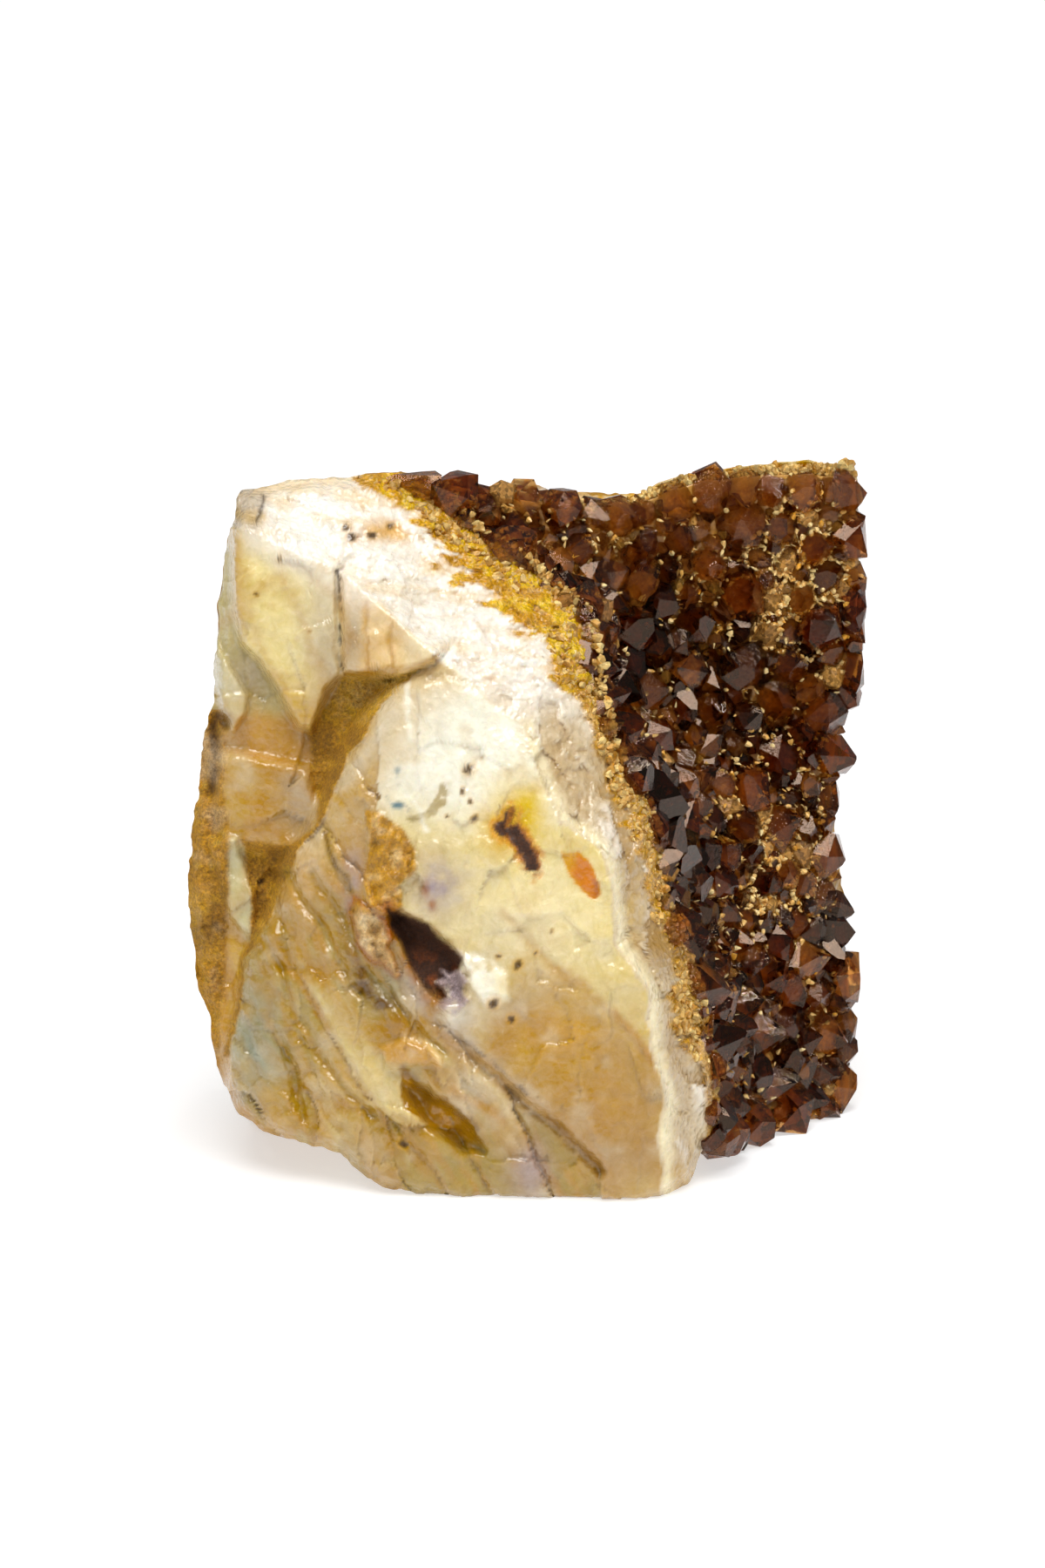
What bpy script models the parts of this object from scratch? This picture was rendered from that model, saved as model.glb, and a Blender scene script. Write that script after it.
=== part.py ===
"""A citrine cluster: a broken piece of geode wall, standing on a flat cut base.

Two pieces grown together: a pale chalcedony matrix, and the brown crust of citrine
crystals that lines its hollow. All lengths below are millimetres, turned to metres at the end.

The stone is laid out on its front view, a plane that faces a viewer who looks down on it by
VIEW_TIP degrees from VIEW_DISTANCE away. A point there is (across, up), and its depth is its
distance behind the object's middle, +Y away from the viewer. Lines with a third value carry
their own depth.
"""

import bmesh
import bpy
import numpy as np
from mathutils import Matrix, Quaternion, Vector

MM = 0.001

# The front view
VIEW_TIP = 13.0
VIEW_DISTANCE = 425.0
VIEW_TARGET_HEIGHT = 45.0
VIEW_MIDDLE_UP = 48.4

# Moves the middle of the finished stone's base to the origin
BASE_MIDDLE = (1.2, 7.57, 0.0)

# Driving sizes of the pieces
CRUST_THICKNESS = 3.0
CONTACT_GAP = 0.4
CRUST_FLOOR_CLEARANCE = 0.8
FLANK_ROUNDING = 1.6
BACK_DEPTH = 32.0
BACK_HALF_WIDTH = 36.0
BACK_HEIGHT = 73.0
BACK_LUMPS = ((15.0, 2.4, 21), (6.5, 1.0, 22))
FRONT_LUMPS = ((5.0, 0.35, 11), (2.4, 0.2, 12))
SIDE_BULGE = 1.2
SIDE_ROUGHNESS = 0.8
EDGE_ROUNDING = 1.5
BELOW_BASE = 3.0
CUTTER_REACH = 60.0
PAST_RIGHT = (6.0, 2.5, 0.0)
PAST_TOP = (0.0, 1.0, 6.0)
PAST_FOOT = (0.0, 0.0, -5.0)
GROUND_CUTTER = (0.2, 0.2, 0.02)
CRYSTAL_COLUMNS = 9
CRYSTAL_ROWS = 14
CRYSTAL_RADIUS = (2.3, 3.4)
CRYSTAL_HEIGHT = (1.8, 3.8)
RIM_CRYSTAL_SHARE = 0.55
CRYSTAL_ROOT = 1.3
CRYSTAL_TILT = 0.22
CRYSTAL_SHOULDER = 0.62
CRYSTAL_TAPER = 0.8
CRYSTAL_LOWEST = 1.2
CRYSTAL_SEED = 7
MATRIX_CUTS = 64
MATRIX_KEPT_SHARE = 0.066
CRUST_COLUMNS = 11
CRUST_ROWS = 15
CRUST_CROWDING = 1.5

# The outline of the whole piece in the front view, clockwise from the upper left
OUTLINE = (
    (-33.5, 78.0), (-31.6, 82.3), (-20.0, 83.6), (-14.0, 84.4), (-10.0, 83.0), (-4.0, 82.3),
    (4.0, 81.5), (8.0, 80.7), (14.0, 81.8), (18.0, 83.8), (26.0, 85.0), (36.0, 85.3),
    (38.2, 85.0), (39.0, 80.0), (39.4, 72.0), (39.0, 66.0), (39.4, 63.6), (37.8, 60.0),
    (36.4, 54.0), (35.6, 50.0), (35.2, 44.6), (35.8, 39.0), (36.9, 34.0), (36.8, 30.0),
    (37.8, 26.0), (38.0, 19.0), (37.6, 14.6), (36.4, 10.6), (33.8, 9.0), (30.0, 8.0),
    (23.0, 6.8), (20.6, 6.0), (18.8, 2.6), (14.0, 0.4), (4.0, 0.0), (-5.4, 0.4), (-10.5, 0.8),
    (-14.6, 1.6), (-20.2, 4.9), (-23.2, 6.4), (-26.0, 8.0), (-30.0, 9.2), (-32.4, 10.4),
    (-34.8, 15.0), (-36.2, 22.0), (-37.6, 29.0), (-38.4, 36.0), (-37.6, 43.0), (-36.8, 52.0),
    (-35.6, 58.0), (-35.0, 64.0), (-34.4, 71.0),
)
OUTLINE_MIDDLE = (1.0, 42.0)
OUTLINE_HALF_WIDTH = 39.0
OUTLINE_HALF_HEIGHT = 41.0

# The rim, where the crust's edge shows, from the bottom to the top: across, up, depth
RIM = (
    (21.9, -4.0, -9.0), (21.9, 8.0, -9.0), (22.0, 16.4, -9.5), (20.0, 25.4, -10.0),
    (18.5, 30.4, -9.5), (16.3, 35.8, -9.0), (15.8, 40.9, -8.5), (14.7, 46.0, -8.0),
    (11.9, 50.6, -8.0), (9.6, 54.9, -7.5), (8.1, 60.7, -5.0), (7.7, 64.6, -3.0),
    (7.0, 68.0, -0.5), (4.2, 70.6, 1.5), (1.0, 72.9, 3.0), (-2.2, 75.6, 4.5),
    (-5.9, 77.7, 6.0), (-9.6, 81.8, 7.6), (-13.7, 84.6, 8.6),
)
# Planes of the front: a depth, the across and up where it has it, and how much deeper each
# millimetre across and each millimetre up makes it
WALL = (-4.5, -25.0, 50.0, -0.15, 0.06)
BANDED = (-7.5, -21.0, 68.0, -0.5, 0.15)
BLOCK_RIGHT = (-19.0, 5.0, 30.0, -0.10, 0.04)
BLOCK_LEFT = (-17.0, -12.0, 30.0, -0.38, -0.02)
BLOCK_TOP = (-17.5, 0.0, 46.0, 0.0, 0.28)
BLOCK_FOOT = (-16.5, 0.0, 6.0, 0.0, -0.25)
ARC_STEEPNESS = 3.5

# The far edge of the bright upper facet: the rim, and then the top of the stone
TOP_EDGE = ((-20.0, 84.6, 6.5), (-33.0, 83.0, 3.0), (-45.0, 82.0, 0.0))
# The crest that divides the front from the upper facet and from the granular band
CREST = (
    (15.8, -4.0), (15.8, 2.2), (16.3, 13.1), (15.0, 19.6), (14.1, 25.6), (10.6, 30.0),
    (10.1, 37.1), (8.6, 40.9), (4.6, 44.3), (2.5, 48.5), (0.0, 55.4), (-9.6, 62.6),
    (-21.0, 73.0), (-33.0, 78.0), (-45.0, 80.0),
)
# The upper left edge of the front block, which stands proud of the wall behind it
ARC = (
    (-33.8, 4.0), (-33.8, 12.4), (-33.5, 16.9), (-31.5, 28.4), (-28.0, 34.4), (-25.5, 40.9),
    (-21.7, 46.6), (-19.6, 51.2), (-16.8, 55.8), (-13.8, 59.9), (-9.6, 62.6),
)
UPPER_SLAB = (
    (-33.5, 77.5), (-33.2, 68.5), (-32.3, 64.5), (-30.4, 62.7), (-25.8, 55.0), (-24.2, 54.5),
    (-22.5, 59.0), (-20.8, 60.9), (-21.2, 66.5), (-21.3, 72.6), (-21.5, 90.0), (-33.5, 90.0),
)
MIDDLE_SLAB = (
    (-36.0, 52.0), (-33.1, 52.1), (-24.7, 50.3), (-23.6, 46.0), (-25.4, 41.1), (-30.0, 40.5),
    (-34.4, 41.5),
)
LOWER_SLAB = (
    (-36.0, 42.0), (-33.0, 42.2), (-31.6, 38.0), (-30.4, 34.0), (-31.0, 30.5), (-33.4, 33.0),
    (-34.6, 37.0),
)
FLAKE = (
    (-35.3, 64.9), (-33.8, 62.4), (-31.5, 58.4), (-31.8, 56.4), (-33.2, 54.6), (-34.5, 56.9),
    (-35.1, 59.4),
)
BANDED_STEP = ((-21.2, 75.0), (-10.0, 66.0), (-9.8, 62.2), (-14.0, 60.5), (-20.8, 60.9))
CAVITY = (
    (-15.2, 33.7), (-12.0, 32.4), (-8.5, 29.9), (-6.5, 26.4), (-7.0, 23.8), (-9.5, 23.4),
    (-12.0, 27.4),
)
SLOT = ((-13.6, 13.8), (-11.0, 13.4), (-7.0, 9.9), (-4.4, 6.2), (-7.0, 6.6), (-11.0, 9.4))
SMALL_SLOT = ((-7.4, 15.4), (-3.1, 12.0), (-4.0, 11.2), (-7.0, 13.4))
# Shapes raised on the wall and sunk in the block: outline, height or depth, width of the slope
RAISED = ((UPPER_SLAB, 3.2, 1.2), (MIDDLE_SLAB, 2.0, 1.4), (LOWER_SLAB, 1.2, 0.9), (FLAKE, 1.6, 0.8))
SUNK = ((CAVITY, 4.5, 2.0), (SLOT, 3.0, 1.6), (SMALL_SLOT, 2.0, 1.2))
CRACK = ((9.0, 3.9), (4.0, 9.2), (-0.3, 12.5), (-4.6, 15.9), (-9.0, 20.2), (-14.5, 33.4))
CRACK_DEPTH = 1.6
CRACK_HALF_WIDTH = 1.2
ENCRUSTATION = ((-19.5, 26.5), (-18.0, 33.0), (-15.5, 38.0), (-16.5, 44.0))
ENCRUSTATION_HEIGHT = 1.0
ENCRUSTATION_HALF_WIDTH = 2.4

# The far edges of the crust in the front view, each from its end nearest the rim's end
CRUST_BOTTOM = ((21.9, 7.6), (27.0, 7.9), (30.0, 8.6), (34.0, 9.8), (36.4, 11.6))
CRUST_RIM = (CRUST_BOTTOM[0],) + tuple(point[:2] for point in RIM[2:-1]) + ((-13.2, 83.6),)
CRUST_RIGHT = (
    (36.4, 11.6), (37.4, 19.0), (37.2, 26.0), (36.2, 32.0), (35.2, 39.0), (34.6, 44.6),
    (35.2, 51.0), (36.2, 56.0), (38.2, 62.0), (38.6, 70.0), (38.4, 77.0), (37.6, 83.6),
)
CRUST_TOP = (
    (-13.2, 83.6), (-8.0, 82.0), (0.0, 81.0), (8.0, 79.8), (14.0, 80.8), (20.0, 83.0),
    (30.0, 83.9), (37.6, 83.6),
)

# The wing, which is the far side of the hollow
WING_DEPTH = 21.0
WING_EDGE = 39.0
WING_LEAN_LOW = 1.1
WING_LEAN_HIGH = 0.28
WING_LEAN_FROM = 5.0
WING_LEAN_TO = 80.0
DISH_DEPTH = 3.0
DISH_MIDDLE = (22.0, 48.0)
DISH_SIZE = (14.0, 26.0)

# Finishes: colour and roughness
CHALCEDONY = ((0.78, 0.69, 0.44, 1.0), 0.4)
CITRINE = ((0.20, 0.055, 0.012, 1.0), 0.12)


# Ways to measure in the front view

def smooth(x):
    """0 below 0, 1 above 1, and a smooth S between."""
    x = np.clip(x, 0.0, 1.0)
    return x * x * (3.0 - 2.0 * x)


def soft_max(a, b, rounding):
    return 0.5 * (a + b + np.sqrt((a - b) ** 2 + rounding ** 2))


def soft_min(a, b, rounding):
    return -soft_max(-a, -b, rounding)


def segment_steps(across, up, start, end):
    """Share of the way from start to end of each point's foot, and its distance from it."""
    run = np.array(end[:2]) - np.array(start[:2])
    share = ((across - start[0]) * run[0] + (up - start[1]) * run[1]) / (run @ run)
    share = np.clip(share, 0.0, 1.0)
    gap = np.hypot(across - start[0] - share * run[0], up - start[1] - share * run[1])
    return share, gap


def beside(across, up, line):
    """Distance from a line that runs upwards, positive on its right, and the nearest point of it."""
    line = np.array(line)
    nearest = np.full(across.shape, np.inf)
    foot = np.zeros(across.shape + (line.shape[1],))
    for start, end in zip(line[:-1], line[1:]):
        share, gap = segment_steps(across, up, start, end)
        closer = gap < nearest
        nearest = np.where(closer, gap, nearest)
        foot = np.where(closer[..., None], start + share[..., None] * (end - start), foot)
    on_line = np.interp(up, line[:, 1], line[:, 0])
    return np.where(across > on_line, nearest, -nearest), foot


def inside(across, up, corners):
    """Distance to the edge of a closed outline, positive inside it."""
    nearest = np.full(across.shape, np.inf)
    within = np.zeros(across.shape, bool)
    for start, end in zip(corners, corners[1:] + corners[:1]):
        nearest = np.minimum(nearest, segment_steps(across, up, start, end)[1])
        spans = (start[1] > up) != (end[1] > up)
        rise = end[1] - start[1] or 1e-9
        within ^= spans & (across < start[0] + (end[0] - start[0]) * (up - start[1]) / rise)
    return np.where(within, nearest, -nearest)


def lattice(column, row, seed):
    """One repeatable value from -1 to 1 for each cell of a lattice."""
    mixed = (column * 374761393 + row * 668265263 + seed * 974634777) & 0xFFFFFFFF
    mixed = ((mixed ^ (mixed >> 13)) * 1274126177) & 0xFFFFFFFF
    return ((mixed ^ (mixed >> 16)) & 0xFFFFFFFF) / 2147483648.0 - 1.0


def lumps(across, up, size, seed):
    """Smooth lumps of one size, from -1 to 1."""
    column = np.floor(across / size).astype(np.int64)
    row = np.floor(up / size).astype(np.int64)
    x = smooth(across / size - column)
    y = smooth(up / size - row)
    low = lattice(column, row, seed) * (1 - x) + lattice(column + 1, row, seed) * x
    high = lattice(column, row + 1, seed) * (1 - x) + lattice(column + 1, row + 1, seed) * x
    return low * (1 - y) + high * y


def to_space(across, up, depth):
    """Points in millimetres, each on the viewer's line of sight through (across, up)."""
    tip = np.radians(VIEW_TIP)
    forward = np.array([0.0, np.cos(tip), -np.sin(tip)])
    upward = np.array([0.0, np.sin(tip), np.cos(tip)])
    eye = np.array([0.0, 0.0, VIEW_TARGET_HEIGHT]) - VIEW_DISTANCE * forward
    sight = forward + ((up - VIEW_MIDDLE_UP) / VIEW_DISTANCE)[..., None] * upward
    sight = sight + (across / VIEW_DISTANCE)[..., None] * np.array([1.0, 0.0, 0.0])
    return eye + sight * ((depth - eye[1]) / sight[..., 1])[..., None]


def plane(across, up, of):
    depth, at_across, at_up, per_across, per_up = of
    return depth + per_across * (across - at_across) + per_up * (up - at_up)


def patch(across, up, corners, edge):
    """1 inside an outline and 0 outside, with an edge that is so wide."""
    return smooth(inside(across, up, corners) / edge + 0.5)


# The stone's surfaces, as depths over the front view

def wall_depth(across, up):
    """The wall at the left: a recessed floor with slabs and a banded step on it."""
    depth = plane(across, up, WALL) + 3.0 * smooth((20 - up) / 20)
    for corners, height, slope in RAISED:
        depth = depth - height * patch(across, up, corners, slope)
    share = patch(across, up, BANDED_STEP, 1.5)
    return depth + (plane(across, up, BANDED) - depth) * share


def front_block_depth(across, up):
    """The shield-shaped block in front, with its hollows, crack and earthy encrustation."""
    depth = soft_max(plane(across, up, BLOCK_RIGHT), plane(across, up, BLOCK_LEFT), 1.5)
    depth = soft_max(depth, plane(across, up, BLOCK_TOP), 2.0)
    depth = soft_max(depth, plane(across, up, BLOCK_FOOT), 2.0)
    for corners, drop, slope in SUNK:
        depth = depth + drop * patch(across, up, corners, slope)
    from_crack = np.abs(beside(across, up, CRACK)[0])
    depth = depth + CRACK_DEPTH * smooth(1 - from_crack / CRACK_HALF_WIDTH)
    from_crust = np.abs(beside(across, up, ENCRUSTATION)[0])
    rough = 0.7 + 0.3 * lumps(across, up, 1.8, 5)
    depth = depth - ENCRUSTATION_HEIGHT * rough * smooth(1 - from_crust / ENCRUSTATION_HALF_WIDTH)
    left_of_arc = -beside(across, up, ARC)[0]
    return depth + 0.5 * ARC_STEEPNESS * (left_of_arc + np.hypot(left_of_arc, 1.0))


def face_depth(across, up):
    """Everything left of the crest: the nearer of the wall and the front block."""
    return soft_min(wall_depth(across, up), front_block_depth(across, up), 0.6)


def block_depth(across, up):
    """The stone's front with no hollow: the face, and right of the crest a ruled facet to the rim."""
    from_crest, crest_foot = beside(across, up, CREST)
    to_edge, edge_foot = beside(across, up, RIM + TOP_EDGE)
    crest = face_depth(crest_foot[..., 0] - 0.3, crest_foot[..., 1])
    gone = np.abs(from_crest)
    share = gone / (gone + np.abs(to_edge) + 1e-6)
    ruled = crest + (edge_foot[..., 2] - crest) * share
    depth = np.where(from_crest > 0, ruled, face_depth(across, up))
    return depth + sum(height * lumps(across, up, size, seed) for size, height, seed in FRONT_LUMPS)


def wing_depth(across, up):
    """The far side of the hollow, which runs back to the right and is dished in the middle."""
    higher = smooth((up - WING_LEAN_FROM) / (WING_LEAN_TO - WING_LEAN_FROM))
    lean = WING_LEAN_LOW + (WING_LEAN_HIGH - WING_LEAN_LOW) * higher
    aside = (across - DISH_MIDDLE[0]) / DISH_SIZE[0]
    above = (up - DISH_MIDDLE[1]) / DISH_SIZE[1]
    return WING_DEPTH + lean * (across - WING_EDGE) + DISH_DEPTH * np.exp(-aside ** 2 - above ** 2)


def hollow_depth(across, up, inset):
    """The hollow's surface: from the rim it falls away steeply and rounds into the wing.

    A positive inset gives the surface that lies that far inside the stone.
    """
    from_rim, foot = beside(across, up, RIM)
    floor = wing_depth(across, up) + 1.15 * inset
    fall = np.exp(-np.maximum(from_rim + inset, 0.0) / FLANK_ROUNDING)
    return floor - np.maximum(floor - foot[..., 2], -2.0) * fall


def outline_bearing(u, v):
    """Direction in which a point of a square from -1 to 1 lies on the outline's oblong."""
    return np.arctan2(v * OUTLINE_HALF_HEIGHT, u * OUTLINE_HALF_WIDTH)


def outline_reach(bearing):
    """Distance from the outline's middle to the outline, by direction."""
    arms = np.array(OUTLINE) - np.array(OUTLINE_MIDDLE)
    bearings = np.arctan2(arms[:, 1], arms[:, 0])
    order = np.argsort(bearings)
    reach = np.hypot(arms[:, 0], arms[:, 1])
    return np.interp(bearing, bearings[order], reach[order], period=2 * np.pi)


# The two pieces and the cutters

def new_object(name, bm, collection):
    mesh = bpy.data.meshes.new(name)
    bm.to_mesh(mesh)
    bm.free()
    made = bpy.data.objects.new(name, mesh)
    collection.objects.link(made)
    return made


def gridded_cube(name, cuts, collection):
    """A cube from -1 to 1 whose sides are evenly divided, and its points as an array."""
    bm = bmesh.new()
    bmesh.ops.create_cube(bm, size=2.0)
    for axis, count in enumerate(cuts):
        if not count:
            continue
        along_axis = [
            edge for edge in bm.edges
            if abs(edge.verts[0].co[axis] - edge.verts[1].co[axis]) > 1e-6
        ]
        bmesh.ops.subdivide_edges(bm, edges=along_axis, cuts=count, use_grid_fill=True)
    made = new_object(name, bm, collection)
    points = np.empty(len(made.data.vertices) * 3)
    made.data.vertices.foreach_get("co", points)
    return made, points.reshape(-1, 3)


def set_points(made, points_mm):
    made.data.vertices.foreach_set("co", ((points_mm - BASE_MIDDLE) * MM).ravel())
    made.data.update()


def cut_or_join(made, other, operation, solver="EXACT"):
    step = made.modifiers.new(operation.lower() + "_" + other.name, "BOOLEAN")
    step.operation = operation
    step.solver = solver
    step.object = other


def back_points(u, v):
    """The rough back of the stone: a rounded, lumpy rectangle, over the cube's u and v."""
    across = BACK_HALF_WIDTH * u * (1 - 0.06 * v * v) + OUTLINE_MIDDLE[0]
    height = BACK_HEIGHT * (0.5 + 0.5 * v) * (1 - 0.05 * u * u)
    upper_left = smooth(0.6 - u) * smooth(height / 30 - 1.4)
    depth = BACK_DEPTH - 5.0 * np.clip(-u, 0, 1) ** 2 - 6.0 * upper_left - 3.0 * v ** 4
    depth = depth + sum(rise * lumps(across, height, size, seed) for size, rise, seed in BACK_LUMPS)
    return np.stack([across, depth, height - BELOW_BASE * (v < -0.999)], -1)


def matrix_points(cube):
    """Carries a cube to the stone: its front face to the front view, its back to the rough back."""
    u, w, v = cube.T
    ring = np.maximum(np.abs(u), np.abs(v))
    bearing = outline_bearing(u, v)
    reach = ring * outline_reach(bearing)
    across = OUTLINE_MIDDLE[0] + reach * np.cos(bearing)
    up = OUTLINE_MIDDLE[1] + reach * np.sin(bearing)
    right_of_rim = beside(across, up, RIM)[0] > 0
    depth = np.where(right_of_rim, hollow_depth(across, up, 0.0), block_depth(across, up))
    depth = depth + EDGE_ROUNDING * smooth((ring - 0.965) / 0.035)
    front = to_space(across, up, depth)
    front[:, 2] -= BELOW_BASE * (front[:, 2] < 0.3)
    back = back_points(u, v)
    share = (w[:, None] + 1) / 2
    wrap = np.sin(np.pi * share) * (ring[:, None] > 0.999)
    rough = SIDE_ROUGHNESS * lumps(30 * share[:, 0], bearing * 30, 6.0, 31)[:, None]
    outward = np.stack([np.cos(bearing), np.zeros_like(u), np.sin(bearing)], -1)
    return front * (1 - share) + back * share + (SIDE_BULGE + rough) * wrap * outward


def edge_line(line, share):
    """Points of a line, by share of its length."""
    line = np.array(line)[:, :2]
    lengths = np.hypot(*np.diff(line, axis=0).T)
    stations = np.concatenate([[0.0], np.cumsum(lengths)]) / lengths.sum()
    return np.stack([np.interp(share, stations, line[:, i]) for i in (0, 1)], -1)


def crust_place(s, t):
    """Front-view place on the crust: s runs from the rim to the far edge, t from bottom to top.

    The four edges are blended so that the sheet ends on each of them.
    """
    rim = edge_line(CRUST_RIM, t)
    far = edge_line(CRUST_RIGHT, t)
    low = edge_line(CRUST_BOTTOM, s)
    high = edge_line(CRUST_TOP, s)
    s = s[..., None]
    t = t[..., None]
    first = (1 - s) * (1 - t) * np.array(CRUST_BOTTOM[0]) + s * (1 - t) * np.array(CRUST_RIGHT[0])
    last = (1 - s) * t * np.array(CRUST_TOP[0]) + s * t * np.array(CRUST_RIGHT[-1])
    return (1 - s) * rim + s * far + (1 - t) * low + t * high - first - last


def crust_points(s, t, inset):
    """A sheet of the crust in space; inset 0 is the open face, a larger one lies deeper."""
    place = crust_place(s, t)
    across = place[..., 0] - inset * (1 - s) ** 3
    up = place[..., 1]
    points = to_space(across, up, hollow_depth(across, up, inset))
    points[..., 2] = np.maximum(points[..., 2], CRUST_FLOOR_CLEARANCE)
    return points


def crust_shares(cube):
    """The cube's u and v as shares of the crust, closer together near the rim."""
    return ((cube[:, 0] + 1) / 2) ** CRUST_CROWDING, (cube[:, 2] + 1) / 2


def cutter_points(cube):
    """The room for the crust: its deep sheet, carried past its far edges and out to the front.

    The sheet has the crust's own columns and rows, and one more column and two more rows
    of cells that run past its right, lower and upper edges.
    """
    column = np.rint((cube[:, 0] + 1) / 2 * (CRUST_COLUMNS + 2))
    row = np.rint((cube[:, 2] + 1) / 2 * (CRUST_ROWS + 3)) - 1
    s = np.clip(column / (CRUST_COLUMNS + 1), 0, 1) ** CRUST_CROWDING
    t = np.clip(row / (CRUST_ROWS + 1), 0, 1)
    deep = crust_points(s, t, CRUST_THICKNESS + CONTACT_GAP)
    deep += np.outer(column > CRUST_COLUMNS + 1, PAST_RIGHT) + np.outer(row < 0, PAST_FOOT)
    deep += np.outer(row > CRUST_ROWS + 1, PAST_TOP)
    return np.where(cube[:, 1:2] > 0, deep, deep - (0.0, CUTTER_REACH, 0.0))


def make_matrix(collection, cutters):
    stone, cube = gridded_cube("chalcedony_matrix", (MATRIX_CUTS,) * 3, collection)
    set_points(stone, matrix_points(cube))
    fewer = stone.modifiers.new("facets", "DECIMATE")
    fewer.ratio = MATRIX_KEPT_SHARE

    hollow, cube = gridded_cube("hollow_cutter", (CRUST_COLUMNS + 1, 0, CRUST_ROWS + 2), cutters)
    set_points(hollow, cutter_points(cube))
    cut_or_join(stone, hollow, "DIFFERENCE")

    bm = bmesh.new()
    bmesh.ops.create_cube(bm, size=1.0)
    ground = new_object("base_cutter", bm, cutters)
    ground.scale = GROUND_CUTTER
    ground.location = (0.0, 0.0, -GROUND_CUTTER[2] / 2)
    cut_or_join(stone, ground, "DIFFERENCE")
    return stone


def crust_frames(s, t):
    """Points of the crust's open face, and the directions out of it."""
    step = 0.01
    run = crust_points(s + step, t, 0.0) - crust_points(s - step, t, 0.0)
    rise = crust_points(s, t + step, 0.0) - crust_points(s, t - step, 0.0)
    out = np.cross(run, rise)
    return crust_points(s, t, 0.0), out / np.linalg.norm(out, axis=-1, keepdims=True)


def crystal_template():
    """A six-sided prism with a six-sided point, 1 high and 1 in radius."""
    bm = bmesh.new()
    bmesh.ops.create_cone(
        bm, cap_ends=True, segments=6, radius1=1.0, radius2=CRYSTAL_TAPER, depth=CRYSTAL_SHOULDER,
        matrix=Matrix.Translation((0.0, 0.0, CRYSTAL_SHOULDER / 2)),
    )
    lid = max((f for f in bm.faces if len(f.verts) == 6), key=lambda f: f.calc_center_median().z)
    tip = bmesh.ops.poke(bm, faces=[lid])["verts"][0]
    tip.co.z = 1.0
    mesh = bpy.data.meshes.new("crystal_template")
    bm.to_mesh(mesh)
    bm.free()
    return mesh


def make_crystal_layer(name, places, template, cutters):
    """One object of crystals that stand clear of each other."""
    bm = bmesh.new()
    for matrix in places:
        before = len(bm.verts)
        bm.from_mesh(template)
        bm.verts.ensure_lookup_table()
        bmesh.ops.transform(bm, matrix=matrix, verts=bm.verts[before:])
    return new_object(name, bm, cutters)


def crystal_places():
    """A matrix for each crystal, by layer: neighbours are in different layers."""
    draw = np.random.default_rng(CRYSTAL_SEED)
    layers = {}
    for column in range(CRYSTAL_COLUMNS):
        for row in range(CRYSTAL_ROWS):
            s = ((column + 0.5 + draw.uniform(-0.25, 0.25)) / CRYSTAL_COLUMNS) ** 1.6
            t = (row + 0.5 + 0.5 * (column % 2) + draw.uniform(-0.2, 0.2)) / (CRYSTAL_ROWS + 0.5)
            foot, out = crust_frames(np.array([s]), np.array([t]))
            radius = draw.uniform(*CRYSTAL_RADIUS) * (RIM_CRYSTAL_SHARE if column == 0 else 1.0)
            height = draw.uniform(*CRYSTAL_HEIGHT)
            axis = Vector(out[0]) + Vector(draw.uniform(-CRYSTAL_TILT, CRYSTAL_TILT, 3))
            axis.normalize()
            start = Vector(foot[0]) - axis * CRYSTAL_ROOT
            start.z = max(start.z, radius + CRYSTAL_LOWEST)
            turn = axis.to_track_quat("Z", "Y") @ Quaternion((0, 0, 1), draw.uniform(0, np.pi / 3))
            size = Vector((radius, radius, CRYSTAL_ROOT + height)) * MM
            matrix = Matrix.LocRotScale((start - Vector(BASE_MIDDLE)) * MM, turn, size)
            layers.setdefault((column % 3, row % 3), []).append(matrix)
    return layers


def make_druse(collection, cutters):
    crust, cube = gridded_cube("citrine_druse", (CRUST_COLUMNS, 0, CRUST_ROWS), collection)
    s, t = crust_shares(cube)
    face = crust_points(s, t, 0.0)
    deep = crust_points(s, t, CRUST_THICKNESS)
    set_points(crust, np.where(cube[:, 1:2] > 0, deep, face))
    template = crystal_template()
    for (column, row), places in crystal_places().items():
        layer = make_crystal_layer(f"crystals_{column}_{row}", places, template, cutters)
        # The exact solver loses the crust where its crystals crowd together.
        cut_or_join(crust, layer, "UNION", "MANIFOLD")
    return crust


def finish(made, name, colour, roughness):
    material = bpy.data.materials.new(name)
    material.use_nodes = True
    shader = material.node_tree.nodes["Principled BSDF"]
    shader.inputs["Base Color"].default_value = colour
    shader.inputs["Roughness"].default_value = roughness
    shader.inputs["Metallic"].default_value = 0.0
    made.data.materials.append(material)


def scene_clear():
    for old in list(bpy.data.objects):
        bpy.data.objects.remove(old)


def main():
    scene_clear()
    stone = bpy.data.collections.new("citrine_cluster")
    cutters = bpy.data.collections.new("cutters")
    bpy.context.scene.collection.children.link(stone)
    bpy.context.scene.collection.children.link(cutters)
    finish(make_matrix(stone, cutters), "chalcedony", *CHALCEDONY)
    finish(make_druse(stone, cutters), "citrine", *CITRINE)
    for helper in cutters.objects:
        helper.hide_render = True
        helper.display_type = "WIRE"


main()
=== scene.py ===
"""The looks of a citrine cluster: a broken piece of geode wall on its flat cut base.

Lengths are millimetres until a mesh is made. The stone is laid out on its front view, a plane
that faces a viewer who looks down on it by VIEW_TIP degrees from VIEW_DISTANCE away. A point
there is (across, up), and its depth is its distance behind the object's middle, +Y away from
the viewer. Lines with a third value carry their own depth.
"""

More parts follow.
